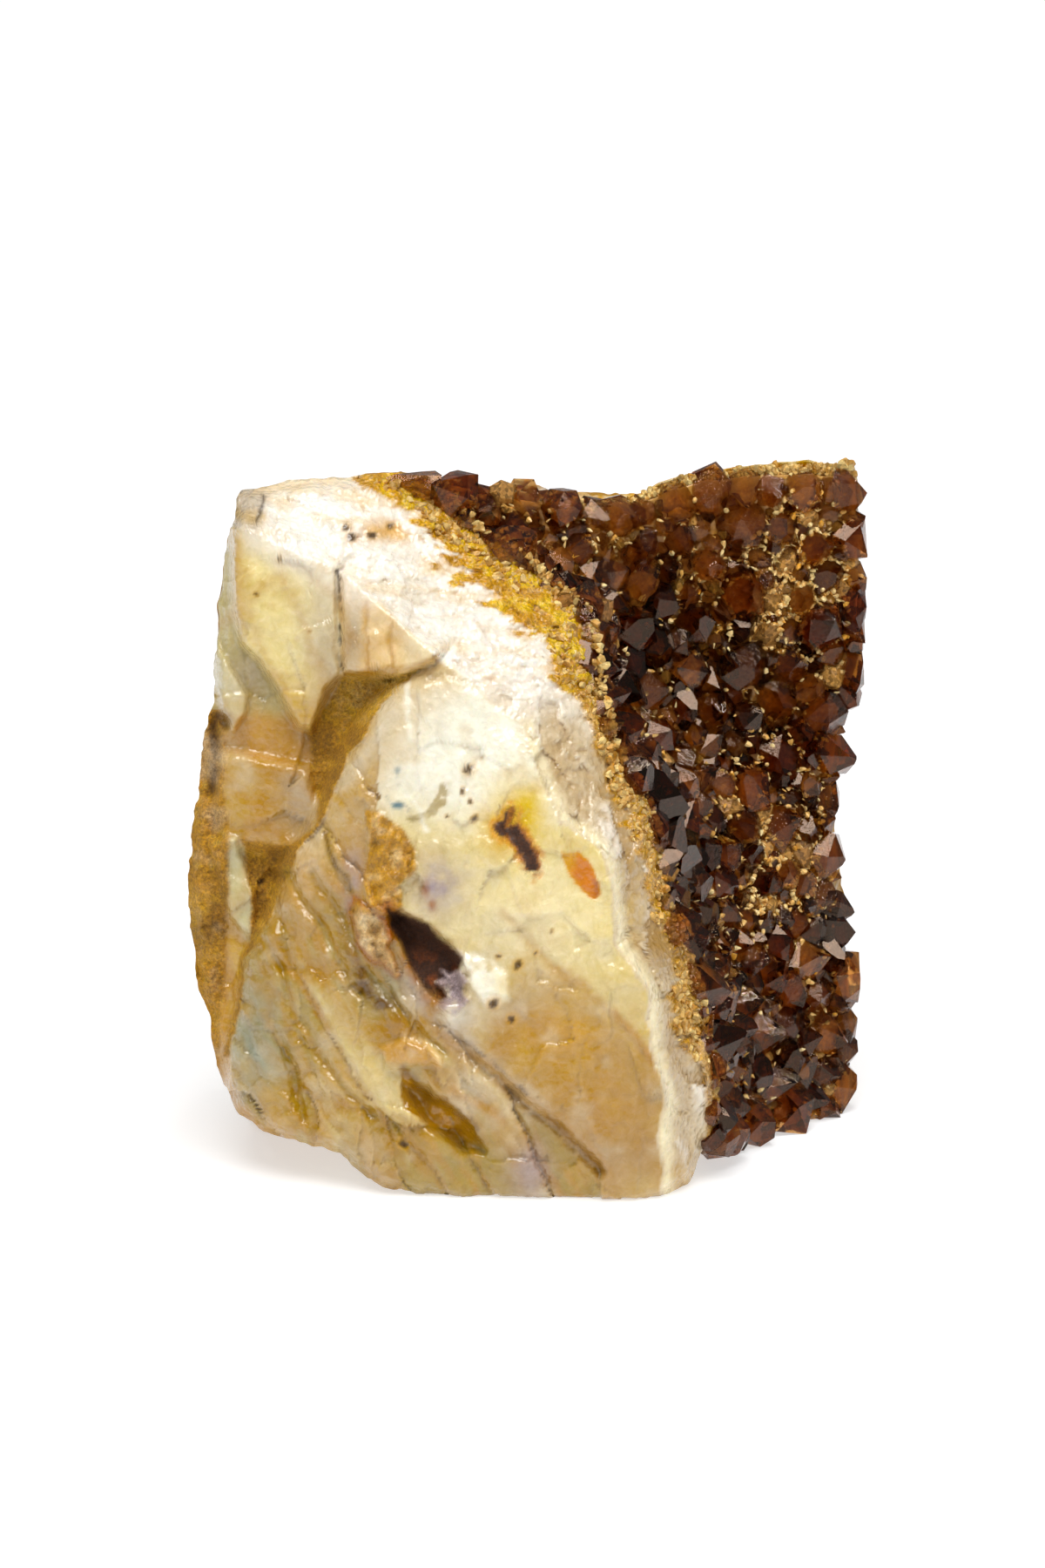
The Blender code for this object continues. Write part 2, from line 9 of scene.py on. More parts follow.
import bpy
import numpy as np
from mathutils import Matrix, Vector


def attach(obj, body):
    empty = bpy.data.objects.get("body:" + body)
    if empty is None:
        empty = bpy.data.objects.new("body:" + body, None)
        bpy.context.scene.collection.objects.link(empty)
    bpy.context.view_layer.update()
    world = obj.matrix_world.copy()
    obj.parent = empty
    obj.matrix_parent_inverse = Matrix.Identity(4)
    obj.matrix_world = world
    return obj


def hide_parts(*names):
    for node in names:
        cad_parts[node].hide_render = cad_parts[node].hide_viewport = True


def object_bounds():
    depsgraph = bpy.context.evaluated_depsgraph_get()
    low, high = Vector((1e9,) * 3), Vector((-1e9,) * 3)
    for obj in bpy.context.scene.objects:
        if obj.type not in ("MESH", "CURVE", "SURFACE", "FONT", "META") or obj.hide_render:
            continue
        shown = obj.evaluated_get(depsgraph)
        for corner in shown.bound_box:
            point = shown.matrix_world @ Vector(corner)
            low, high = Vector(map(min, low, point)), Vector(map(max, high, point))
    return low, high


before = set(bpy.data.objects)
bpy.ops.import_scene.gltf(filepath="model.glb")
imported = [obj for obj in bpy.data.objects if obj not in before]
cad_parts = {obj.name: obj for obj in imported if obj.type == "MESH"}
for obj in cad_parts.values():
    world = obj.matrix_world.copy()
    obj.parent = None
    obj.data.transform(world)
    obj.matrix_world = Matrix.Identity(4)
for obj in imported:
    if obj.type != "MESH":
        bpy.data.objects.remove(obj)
cad_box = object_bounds()

MM = 0.001

# The front view, in which a millimetre across or up is ten pixels of the photograph
VIEW_TIP = 13.0
VIEW_DISTANCE = 425.0
VIEW_TARGET_HEIGHT = 45.0
VIEW_MIDDLE_UP = 48.4
LENS_MM = 85.0
SENSOR_MM = 36.0
BASE_MIDDLE = (1.2, 7.57, 0.0)

# The stone's main sizes
CRUST_THICKNESS = 3.0
CRUST_FLOOR_CLEARANCE = 0.8
FLANK_ROUNDING = 1.6
BACK_DEPTH = 32.0
BACK_HALF_WIDTH = 36.0
BACK_HEIGHT = 73.0
BACK_LUMPS = ((15.0, 2.4, 21), (6.5, 1.0, 22))
FRONT_LUMPS = ((5.0, 0.35, 11), (2.4, 0.2, 12))
SIDE_BULGE = 1.2
SIDE_ROUGHNESS = 0.8
EDGE_ROUNDING = 1.5

# Cells of the meshes
FRONT_CELLS = 270
BACK_CELLS = 90
SIDE_RINGS = 8
CRUST_CELLS = (170, 280)
CRUST_CROWDING = 1.3
# Half the step, as a share of the crust, over which its direction is measured
CRUST_STEP = 0.004

# The finished surface stays inside the solids' box, and crystals overhang the stone's edge
BOX_MARGIN = 0.05
EDGE_RAGGEDNESS = 0.5
CRYSTAL_OVERHANG = 1.0
CREST_STATIONS = 90
CREST_EVENING = 0.07

# The outline of the whole piece in the front view, clockwise from the upper left
OUTLINE = (
    (-33.3, 78.0), (-32.9, 81.2), (-32.2, 82.1), (-20.0, 83.6), (-14.0, 84.4), (-10.0, 83.0), (-4.0, 82.3),
    (4.0, 81.5), (8.0, 80.7), (14.0, 81.8), (18.0, 83.8), (26.0, 85.0), (36.0, 85.3),
    (38.2, 85.0), (39.0, 80.0), (39.4, 72.0), (39.0, 66.0), (39.4, 63.6), (37.8, 60.0),
    (36.4, 54.0), (35.6, 50.0), (35.2, 44.6), (35.8, 39.0), (36.9, 34.0), (36.8, 30.0),
    (37.8, 26.0), (38.0, 19.0), (37.6, 14.6), (36.4, 10.6), (33.8, 9.0), (30.0, 8.0),
    (23.0, 6.8), (20.6, 6.0), (18.8, 2.6), (14.0, 0.4), (4.0, 0.0), (-5.4, 0.4), (-10.5, 0.8),
    (-14.6, 1.6), (-20.2, 4.9), (-23.2, 6.4), (-26.0, 8.0), (-30.0, 9.2), (-32.4, 10.4),
    (-34.8, 15.0), (-36.2, 22.0), (-37.6, 29.0), (-38.4, 36.0), (-37.6, 43.0), (-36.8, 52.0),
    (-35.6, 58.0), (-35.0, 64.0), (-34.4, 71.0),
)
OUTLINE_MIDDLE = (1.0, 42.0)
OUTLINE_HALF_WIDTH = 39.0
OUTLINE_HALF_HEIGHT = 41.0

# The rim, where the crust's edge shows, from the bottom to the top: across, up, depth
RIM = (
    (21.9, -4.0, -9.0), (21.9, 8.0, -9.0), (22.0, 16.4, -9.5), (20.0, 25.4, -10.0),
    (18.5, 30.4, -9.5), (16.3, 35.8, -9.0), (15.8, 40.9, -8.5), (14.7, 46.0, -8.0),
    (11.9, 50.6, -8.0), (9.6, 54.9, -7.5), (8.1, 60.7, -5.0), (7.7, 64.6, -3.0),
    (7.0, 68.0, -0.5), (4.2, 70.6, 1.5), (1.0, 72.9, 3.0), (-2.2, 75.6, 4.5),
    (-5.9, 77.7, 6.0), (-9.6, 81.8, 7.6), (-13.7, 84.6, 8.6),
)
# Planes of the front: a depth, the across and up where it has it, and how much deeper each
# millimetre across and each millimetre up makes it
WALL = (-4.5, -25.0, 50.0, -0.15, 0.06)
BANDED = (-7.5, -21.0, 68.0, -0.5, 0.15)
BLOCK_RIGHT = (-19.0, 5.0, 30.0, -0.10, 0.04)
BLOCK_LEFT = (-17.0, -12.0, 30.0, -0.38, -0.02)
BLOCK_TOP = (-17.5, 0.0, 46.0, 0.0, 0.28)
BLOCK_FOOT = (-16.5, 0.0, 6.0, 0.0, -0.25)
ARC_STEEPNESS = 3.5

# The far edge of the bright upper facet: the rim, and then the top of the stone
TOP_EDGE = ((-20.0, 84.6, 6.5), (-33.0, 83.0, 3.0), (-45.0, 82.0, 0.0))
# The crest that divides the front from the upper facet and from the granular band
CREST = (
    (15.8, -4.0), (15.8, 2.2), (16.3, 13.1), (15.0, 19.6), (14.1, 25.6), (10.6, 30.0),
    (10.1, 37.1), (8.6, 40.9), (4.6, 44.3), (2.5, 48.5), (0.0, 55.4), (-9.6, 62.6),
    (-21.0, 73.0), (-33.0, 78.0), (-45.0, 80.0),
)
# The upper left edge of the front block, which stands proud of the wall behind it
ARC = (
    (-33.8, 4.0), (-33.8, 12.4), (-33.5, 16.9), (-31.5, 28.4), (-28.0, 34.4), (-25.5, 40.9),
    (-21.7, 46.6), (-19.6, 51.2), (-16.8, 55.8), (-13.8, 59.9), (-9.6, 62.6),
)
UPPER_SLAB = (
    (-33.5, 77.5), (-33.2, 68.5), (-32.3, 64.5), (-30.4, 62.7), (-25.8, 55.0), (-24.2, 54.5),
    (-22.5, 59.0), (-20.8, 60.9), (-21.2, 66.5), (-21.3, 72.6), (-21.5, 90.0), (-33.5, 90.0),
)
MIDDLE_SLAB = (
    (-36.0, 52.0), (-33.1, 52.1), (-24.7, 50.3), (-23.6, 46.0), (-25.4, 41.1), (-30.0, 40.5),
    (-34.4, 41.5),
)
LOWER_SLAB = (
    (-36.0, 42.0), (-33.0, 42.2), (-31.6, 38.0), (-30.4, 34.0), (-31.0, 30.5), (-33.4, 33.0),
    (-34.6, 37.0),
)
FLAKE = (
    (-35.3, 64.9), (-33.8, 62.4), (-31.5, 58.4), (-31.8, 56.4), (-33.2, 54.6), (-34.5, 56.9),
    (-35.1, 59.4),
)
FOOT_FACET = ((-33.6, 31.0), (-29.4, 28.2), (-29.0, 26.4), (-30.6, 24.6), (-33.2, 27.4))
BANDED_STEP = ((-21.2, 75.0), (-10.0, 66.0), (-9.8, 62.2), (-14.0, 60.5), (-20.8, 60.9))
CAVITY = (
    (-15.2, 33.7), (-12.0, 32.4), (-8.5, 29.9), (-6.5, 26.4), (-7.0, 23.8), (-9.5, 23.4),
    (-12.0, 27.4),
)
SLOT = ((-13.6, 13.8), (-11.0, 13.4), (-7.0, 9.9), (-4.4, 6.2), (-7.0, 6.6), (-11.0, 9.4))
SMALL_SLOT = ((-7.4, 15.4), (-3.1, 12.0), (-4.0, 11.2), (-7.0, 13.4))
# Shapes raised on the wall and sunk in the block: outline, height or depth, width of the slope
RAISED = ((UPPER_SLAB, 3.2, 1.2), (MIDDLE_SLAB, 2.0, 1.4), (LOWER_SLAB, 1.2, 0.9), (FLAKE, 1.6, 0.8))
SUNK = ((CAVITY, 2.8, 2.0), (SLOT, 2.4, 1.6), (SMALL_SLOT, 0.6, 1.2))
CRACK = ((9.0, 3.9), (4.0, 9.2), (-0.3, 12.5), (-4.6, 15.9), (-9.0, 20.2), (-14.5, 33.4))
CRACK_DEPTH = 0.9
CRACK_HALF_WIDTH = 1.2
ENCRUSTATION = ((-19.5, 26.5), (-18.0, 33.0), (-15.5, 38.0), (-16.5, 44.0))
ENCRUSTATION_HEIGHT = 1.0
ENCRUSTATION_HALF_WIDTH = 2.4

# The far edges of the crust in the front view, each from its end nearest the rim's end
CRUST_BOTTOM = ((21.9, 7.6), (27.0, 7.9), (30.0, 8.6), (34.0, 9.8), (36.4, 11.6))
CRUST_RIM = (CRUST_BOTTOM[0],) + tuple(point[:2] for point in RIM[2:-1]) + ((-13.2, 83.6),)
CRUST_RIGHT = (
    (36.4, 11.6), (37.4, 19.0), (37.2, 26.0), (36.2, 32.0), (35.2, 39.0), (34.6, 44.6),
    (35.2, 51.0), (36.2, 56.0), (38.2, 62.0), (38.6, 70.0), (38.4, 77.0), (37.6, 83.6),
)
CRUST_TOP = (
    (-13.2, 83.6), (-8.0, 82.0), (0.0, 81.0), (8.0, 79.8), (14.0, 80.8), (20.0, 83.0),
    (30.0, 83.9), (37.6, 83.6),
)

# The wing, which is the far side of the hollow
WING_DEPTH = 21.0
WING_EDGE = 39.0
WING_LEAN_LOW = 1.1
WING_LEAN_HIGH = 0.28
WING_LEAN_FROM = 5.0
WING_LEAN_TO = 80.0
DISH_DEPTH = 3.0
DISH_MIDDLE = (22.0, 48.0)
DISH_SIZE = (14.0, 26.0)

# Width of the gold crust edge beside the rim, by height
GOLD_HEIGHTS = (0, 14, 17, 18.5, 24, 26, 33, 37, 42, 46, 49, 51, 54.5, 57, 60, 63, 66, 72, 76, 80, 84)
GOLD_WIDTHS = (0.8, 0.9, 2, 3.4, 3.2, 2, 2, 2.6, 2.8, 3, 3, 2, 1.8, 2.2, 4, 5, 5.5, 5, 4.2, 4.2, 4.5)


# Ways to measure in the front view

# Keeps a length or a rise that is divided by from being zero
TINY = 1e-9
# Width over which the edge of a blot or a speck fades
BLOT_EDGE = 0.35


def smooth(x):
    """0 below 0, 1 above 1, and a smooth S between."""
    x = np.clip(x, 0.0, 1.0)
    return x * x * (3.0 - 2.0 * x)


def unit(vectors):
    """The same directions, each 1 long."""
    return vectors / np.maximum(np.linalg.norm(vectors, axis=-1, keepdims=True), TINY)


def soft_max(a, b, rounding):
    """The larger of two values, rounded where they meet."""
    return 0.5 * (a + b + np.sqrt((a - b) ** 2 + rounding ** 2))


def soft_min(a, b, rounding):
    """The smaller of two values, rounded where they meet."""
    return -soft_max(-a, -b, rounding)


def segment_steps(across, up, start, end):
    """Share of the way from start to end of each point's foot, and its distance from it."""
    run = np.array(end[:2]) - np.array(start[:2])
    share = ((across - start[0]) * run[0] + (up - start[1]) * run[1]) / (run @ run)
    share = np.clip(share, 0.0, 1.0)
    gap = np.hypot(across - start[0] - share * run[0], up - start[1] - share * run[1])
    return share, gap


def beside(across, up, line):
    """Distance from a line that runs upwards, positive on its right, and the nearest point of it."""
    line = np.array(line)
    nearest = np.full(across.shape, np.inf)
    foot = np.zeros(across.shape + (line.shape[1],))
    for start, end in zip(line[:-1], line[1:]):
        share, gap = segment_steps(across, up, start, end)
        closer = gap < nearest
        nearest = np.where(closer, gap, nearest)
        foot = np.where(closer[..., None], start + share[..., None] * (end - start), foot)
    on_line = np.interp(up, line[:, 1], line[:, 0])
    return np.where(across > on_line, nearest, -nearest), foot


def from_line(across, up, line):
    """Distance from a line of any direction."""
    pairs = zip(line[:-1], line[1:])
    return np.minimum.reduce([segment_steps(across, up, start, end)[1] for start, end in pairs])


def near(across, up, line, half_width):
    """1 on a line of any direction, falling to 0 half_width away."""
    return smooth(1 - from_line(across, up, line) / half_width)


def near_any(across, up, lines, half_width):
    """1 on each of several lines, falling to 0 half_width away."""
    return np.maximum.reduce([near(across, up, line, half_width) for line in lines])


def blot(across, up, line, half_width):
    """1 within half_width of a line, with a sharp edge."""
    return smooth((half_width - from_line(across, up, line)) / BLOT_EDGE + 0.5)


def inside(across, up, corners):
    """Distance to the edge of a closed outline, positive inside it."""
    closed = corners + corners[:1]
    within = np.zeros(across.shape, bool)
    for start, end in zip(closed[:-1], closed[1:]):
        spans = (start[1] > up) != (end[1] > up)
        rise = end[1] - start[1] or TINY
        within ^= spans & (across < start[0] + (end[0] - start[0]) * (up - start[1]) / rise)
    nearest = from_line(across, up, closed)
    return np.where(within, nearest, -nearest)


def patch(across, up, corners, edge):
    """1 inside an outline and 0 outside, with an edge that is so wide."""
    return smooth(inside(across, up, corners) / edge + 0.5)


def cloud(across, up, middle, size):
    """1 at the middle of an ellipse, fading outwards by a bell curve."""
    return np.exp(-((across - middle[0]) / size[0]) ** 2 - ((up - middle[1]) / size[1]) ** 2)


def lattice(column, row, seed):
    """One repeatable value from -1 to 1 for each cell of a lattice."""
    mixed = (column * 374761393 + row * 668265263 + seed * 974634777) & 0xFFFFFFFF
    mixed = ((mixed ^ (mixed >> 13)) * 1274126177) & 0xFFFFFFFF
    return ((mixed ^ (mixed >> 16)) & 0xFFFFFFFF) / 2147483648.0 - 1.0


def lumps(across, up, size, seed):
    """Smooth lumps of one size, from -1 to 1: a lattice of values, blended between its points."""
    column = np.floor(across / size).astype(np.int64)
    row = np.floor(up / size).astype(np.int64)
    x = smooth(across / size - column)
    y = smooth(up / size - row)
    low = lattice(column, row, seed) * (1 - x) + lattice(column + 1, row, seed) * x
    high = lattice(column, row + 1, seed) * (1 - x) + lattice(column + 1, row + 1, seed) * x
    return low * (1 - y) + high * y


def fractal(across, up, size, seed):
    """Lumps of three sizes, each half as large and half as strong as the one before, from -1 to 1."""
    return sum(0.57 * 0.5 ** k * lumps(across, up, size * 0.5 ** k, seed + k) for k in range(3))


def strayed(across, up, waves):
    """Places moved aside by lumps, for ragged edges: each wave's reach, size and two seeds."""
    a, h = across, up
    for reach, size, seed_across, seed_up in waves:
        a = a + reach * fractal(across, up, size, seed_across)
        h = h + reach * fractal(across, up, size, seed_up)
    return a, h


def nearest_cell(across, up, size, seed):
    """Distances to the two nearest cell middles, and the nearest cell's column, row and offset."""
    x = across / size + 0.25 * lumps(across, up, 1.4 * size, seed + 5)
    y = up / size + 0.25 * lumps(across, up, 1.4 * size, seed + 6)
    column = np.floor(x).astype(np.int64)
    row = np.floor(y).astype(np.int64)
    first = np.full(across.shape, 9.0)
    second = np.full(across.shape, 9.0)
    cell = [column, row, 0 * x, 0 * y]
    for i in (-1, 0, 1):
        for j in (-1, 0, 1):
            dx = x - (column + i + 0.5 + 0.42 * lattice(column + i, row + j, seed))
            dy = y - (row + j + 0.5 + 0.42 * lattice(column + i, row + j, seed + 1))
            gap = np.hypot(dx, dy)
            closer = gap < first
            cell = [np.where(closer, *pair) for pair in zip((column + i, row + j, dx, dy), cell)]
            second = np.minimum(second, np.maximum(gap, first))
            first = np.minimum(first, gap)
    return first, second, cell


def grains(across, up, size, seed):
    """Rounded grains of one size: 1 at the middle of a grain, 0 in the grooves between grains."""
    first, second, _ = nearest_cell(across, up, size, seed)
    return smooth((second - first) / 0.55)


def drawn_out(across, up, angle, times):
    """Coordinates in which a pattern comes out drawn out so many times in one direction."""
    along, over = turned(across, up, angle)
    return along / times, over


def slivers(across, up, size, seed, angle=0.0, times=1.0):
    """Flat broken faces, drawn out in one direction: their heights, and 1 in the cracks between them.

    Each cell of a ragged lattice is a tilted plane, which reaches from about -1 to 1.
    """
    first, second, (column, row, dx, dy) = nearest_cell(*drawn_out(across, up, angle, times), size, seed)
    tilt = lattice(column, row, seed + 2) * dx + lattice(column, row, seed + 3) * dy
    return 0.4 * lattice(column, row, seed + 4) + 0.9 * tilt, smooth(1 - (second - first) / 0.25)


def facets(across, up, size, seed):
    """Heights of flat broken faces of one size, about -1 to 1."""
    return slivers(across, up, size, seed)[0]


def turned(across, up, angle):
    """Coordinates along and across a direction, which is an angle in degrees from the horizontal."""
    turn = np.radians(angle)
    along = across * np.cos(turn) + up * np.sin(turn)
    return along, up * np.cos(turn) - across * np.sin(turn)


def to_space(across, up, depth):
    """Points in millimetres, each on the viewer's line of sight through (across, up)."""
    tip = np.radians(VIEW_TIP)
    forward = np.array([0.0, np.cos(tip), -np.sin(tip)])
    upward = np.array([0.0, np.sin(tip), np.cos(tip)])
    eye = np.array([0.0, 0.0, VIEW_TARGET_HEIGHT]) - VIEW_DISTANCE * forward
    sight = forward + ((up - VIEW_MIDDLE_UP) / VIEW_DISTANCE)[..., None] * upward
    sight = sight + (across / VIEW_DISTANCE)[..., None] * np.array([1.0, 0.0, 0.0])
    return eye + sight * ((depth - eye[1]) / sight[..., 1])[..., None]


def plane(across, up, of):
    """Depth of a tilted plane: its depth at one place, and how much it gains across and up."""
    depth, at_across, at_up, per_across, per_up = of
    return depth + per_across * (across - at_across) + per_up * (up - at_up)


# The stone's surfaces, as depths over the front view

def wall_depth(across, up):
    """The wall at the left: a recessed floor with slabs and a banded step on it."""
    depth = plane(across, up, WALL) + 3.0 * smooth((20 - up) / 20)
    for corners, height, slope in RAISED:
        depth = depth - height * patch(across, up, corners, slope)
    share = patch(across, up, BANDED_STEP, 1.5)
    return depth + (plane(across, up, BANDED) - depth) * share


def front_block_depth(across, up):
    """The shield-shaped block in front, with its hollows, crack and earthy encrustation."""
    depth = soft_max(plane(across, up, BLOCK_RIGHT), plane(across, up, BLOCK_LEFT), 1.5)
    depth = soft_max(depth, plane(across, up, BLOCK_TOP), 2.0)
    depth = soft_max(depth, plane(across, up, BLOCK_FOOT), 2.0)
    for corners, drop, slope in SUNK:
        depth = depth + drop * patch(across, up, corners, slope)
    from_crack = np.abs(beside(across, up, CRACK)[0])
    depth = depth + CRACK_DEPTH * smooth(1 - from_crack / CRACK_HALF_WIDTH)
    from_crust = np.abs(beside(across, up, ENCRUSTATION)[0])
    rough = 0.7 + 0.3 * lumps(across, up, 1.8, 5)
    depth = depth - ENCRUSTATION_HEIGHT * rough * smooth(1 - from_crust / ENCRUSTATION_HALF_WIDTH)
    left_of_arc = -beside(across, up, ARC)[0]
    return depth + 0.5 * ARC_STEEPNESS * (left_of_arc + np.hypot(left_of_arc, 1.0))


def face_depth(across, up):
    """Everything left of the crest: the nearer of the wall and the front block."""
    return soft_min(wall_depth(across, up), front_block_depth(across, up), 0.6)


def even_crest():
    """The crest with a depth of its own: the face's, evened out by a bell curve along the line."""
    stations = np.linspace(0, 1, CREST_STATIONS)
    place = edge_line(CREST, stations)
    depth = face_depth(place[:, 0] - 0.3, place[:, 1])
    weights = np.exp(-((stations[:, None] - stations) / CREST_EVENING) ** 2)
    return np.column_stack([place, weights @ depth / weights.sum(1)])


def block_depth(across, up):
    """The stone's front with no hollow: the face, and right of the crest a ruled facet to the rim."""
    from_crest, crest_foot = beside(across, up, even_crest())
    to_edge, edge_foot = beside(across, up, RIM + TOP_EDGE)
    crest = face_depth(crest_foot[..., 0] - 0.3, crest_foot[..., 1])
    gone = np.abs(from_crest)
    crest = crest + (crest_foot[..., 2] - crest) * smooth(gone / 4.0)
    share = gone / (gone + np.abs(to_edge) + 1e-6)
    ruled = crest + (edge_foot[..., 2] - crest) * share
    depth = np.where(from_crest > 0, ruled, face_depth(across, up))
    return depth + sum(height * lumps(across, up, size, seed) for size, height, seed in FRONT_LUMPS)


def wing_depth(across, up):
    """The far side of the hollow, which runs back to the right and is dished in the middle."""
    higher = smooth((up - WING_LEAN_FROM) / (WING_LEAN_TO - WING_LEAN_FROM))
    lean = WING_LEAN_LOW + (WING_LEAN_HIGH - WING_LEAN_LOW) * higher
    aside = (across - DISH_MIDDLE[0]) / DISH_SIZE[0]
    above = (up - DISH_MIDDLE[1]) / DISH_SIZE[1]
    return WING_DEPTH + lean * (across - WING_EDGE) + DISH_DEPTH * np.exp(-aside ** 2 - above ** 2)


def hollow_depth(across, up, inset):
    """The hollow's surface: from the rim it falls away steeply and rounds into the wing.

    A positive inset gives the surface that lies that far inside the stone.
    """
    from_rim, foot = beside(across, up, RIM)
    floor = wing_depth(across, up) + 1.15 * inset
    fall = np.exp(-np.maximum(from_rim + inset, 0.0) / FLANK_ROUNDING)
    return floor - np.maximum(floor - foot[..., 2], -2.0) * fall


def outline_bearing(u, v):
    """Direction in which a point of a square from -1 to 1 lies on the outline's oblong."""
    return np.arctan2(v * OUTLINE_HALF_HEIGHT, u * OUTLINE_HALF_WIDTH)


def outline_reach(bearing):
    """Distance from the outline's middle to the outline, by direction."""
    arms = np.array(OUTLINE) - np.array(OUTLINE_MIDDLE)
    bearings = np.arctan2(arms[:, 1], arms[:, 0])
    order = np.argsort(bearings)
    reach = np.hypot(arms[:, 0], arms[:, 1])
    return np.interp(bearing, bearings[order], reach[order], period=2 * np.pi)


def back_points(u, v):
    """The rough back of the stone: a rounded, lumpy rectangle, over u and v from -1 to 1."""
    across = BACK_HALF_WIDTH * u * (1 - 0.06 * v * v) + OUTLINE_MIDDLE[0]
    height = BACK_HEIGHT * (0.5 + 0.5 * v) * (1 - 0.05 * u * u)
    upper_left = smooth(0.6 - u) * smooth(height / 30 - 1.4)
    depth = BACK_DEPTH - 5.0 * np.clip(-u, 0, 1) ** 2 - 6.0 * upper_left - 3.0 * v ** 4
    depth = depth + sum(rise * lumps(across, height, size, seed) for size, rise, seed in BACK_LUMPS)
    depth = depth - 0.5 * grains(across, height, 2.6, 23) * smooth(0.98 - np.abs(u) ** 8)
    return np.stack([across, depth, height], -1)


def edge_line(line, share):
    """Points of a line, by share of its length."""
    line = np.array(line)[:, :2]
    lengths = np.hypot(*np.diff(line, axis=0).T)
    stations = np.concatenate([[0.0], np.cumsum(lengths)]) / lengths.sum()
    return np.stack([np.interp(share, stations, line[:, i]) for i in (0, 1)], -1)


def crust_place(s, t):
    """Front-view place on the crust: s runs from the rim to the far edge, t from bottom to top.

    The four edges are blended so that the sheet ends on each of them.
    """
    rim = edge_line(CRUST_RIM, t)
    far = edge_line(CRUST_RIGHT, t)
    low = edge_line(CRUST_BOTTOM, s)
    high = edge_line(CRUST_TOP, s)
    s = s[..., None]
    t = t[..., None]
    first = (1 - s) * (1 - t) * np.array(CRUST_BOTTOM[0]) + s * (1 - t) * np.array(CRUST_RIGHT[0])
    last = (1 - s) * t * np.array(CRUST_TOP[0]) + s * t * np.array(CRUST_RIGHT[-1])
    return (1 - s) * rim + s * far + (1 - t) * low + t * high - first - last


def crust_points(s, t, inset):
    """A sheet of the crust in space; inset 0 is the open face, a larger one lies deeper."""
    place = crust_place(s, t)
    across = place[..., 0] - inset * (1 - s) ** 3
    points = to_space(across, place[..., 1], hollow_depth(across, place[..., 1], inset))
    points[..., 2] = np.maximum(points[..., 2], CRUST_FLOOR_CLEARANCE)
    return points


def crust_steps(s, t):
    """Small steps on the crust's open face, away from the rim and upwards along it."""
    run = crust_points(s + CRUST_STEP, t, 0.0) - crust_points(s - CRUST_STEP, t, 0.0)
    rise = crust_points(s, t + CRUST_STEP, 0.0) - crust_points(s, t - CRUST_STEP, 0.0)
    return run, rise


def crust_out(s, t):
    """Directions out of the crust's open face."""
    return unit(np.cross(*crust_steps(s, t)))


# Outlines and lines of what lies on the front: across, up

EARTH = (
    (-20.8, 61.0), (-15.0, 60.8), (-9.8, 62.4), (-13.5, 60.2), (-16.5, 56.0), (-19.3, 51.4),
    (-21.4, 46.8), (-25.3, 41.2), (-27.8, 34.6), (-31.3, 28.6), (-33.4, 17.2), (-34.2, 17.0),
    (-32.4, 26.0), (-31.5, 31.0), (-31.4, 36.0), (-32.8, 42.2), (-29.8, 41.3), (-26.5, 41.6),
    (-24.2, 43.5), (-23.6, 46.5), (-24.4, 50.5), (-25.0, 54.2), (-23.5, 56.5), (-21.6, 59.0),
)
PALE_WALL = ((-36.5, 81.0), (-36.5, 57.0), (-33.0, 55.5), (-24.5, 56.0), (-21.5, 60.5), (-21.0, 81.0))
UPPER_CORNER = ((-36.0, 79.0), (-36.0, 84.5), (-28.6, 84.5), (-29.4, 80.5), (-30.6, 77.6))
LEDGE = ((-33.6, 56.0), (-30.0, 56.5), (-24.6, 55.0), (-24.4, 50.2), (-29.0, 51.2), (-33.2, 52.2))
GAP = ((-33.8, 55.6), (-34.9, 56.4), (-35.3, 52.0), (-35.6, 47.6))
SLAB_CRACK = (
    (-21.4, 72.9), (-21.2, 71.6), (-20.9, 68.2), (-21.4, 66.4), (-21.1, 64.0), (-20.7, 60.9),
)
BAND_LINES = (((-18.1, 69.5), (-17.9, 65.0), (-17.7, 61.0)), ((-15.3, 72.2), (-15.2, 66.0), (-14.9, 61.4)))
CREASES = (
    ((-27.0, 38.5), (-22.6, 31.9), (-20.1, 27.1), (-18.3, 24.5)),
    ((-22.9, 42.9), (-21.9, 40.1), (-20.3, 37.0), (-19.8, 36.0)),
    ((-30.3, 31.0), (-27.7, 27.5), (-26.7, 23.0), (-24.2, 18.5)),
    ((-28.6, 20.5), (-27.4, 18.1), (-26.2, 12.6), (-25.0, 9.9)),
    ((-25.9, 19.3), (-22.7, 16.4), (-17.4, 10.5)),
    ((-24.0, 38.0), (-21.6, 35.2), (-19.6, 31.0), (-17.8, 27.6), (-15.2, 24.0), (-9.0, 17.6)),
)
BELOW_SEAM = (
    (1.0, 29.6), (6.0, 25.2), (11.5, 20.2), (15.8, 16.0), (15.8, 3.0), (9.0, 3.9), (4.0, 9.2),
    (-0.3, 12.5), (-4.0, 16.0), (-3.0, 22.0),
)
# A painted shadow between the folds on the left of the block
FOLD_SHADE_LINE = ((-20.6, 31.5), (-19.2, 27.0), (-17.0, 23.6), (-14.0, 21.2))
SEAM = ((-2.4, 33.6), (1.0, 30.0), (6.0, 25.6), (11.5, 20.6), (15.4, 16.4))
UPPER_CRUST = (
    (-17.9, 45.2), (-16.3, 44.9), (-13.7, 43.1), (-12.4, 40.6), (-12.7, 38.6), (-14.0, 37.0),
    (-13.7, 34.5), (-15.5, 33.4), (-17.5, 34.2), (-18.3, 37.0), (-17.8, 40.1), (-17.8, 43.1),
)
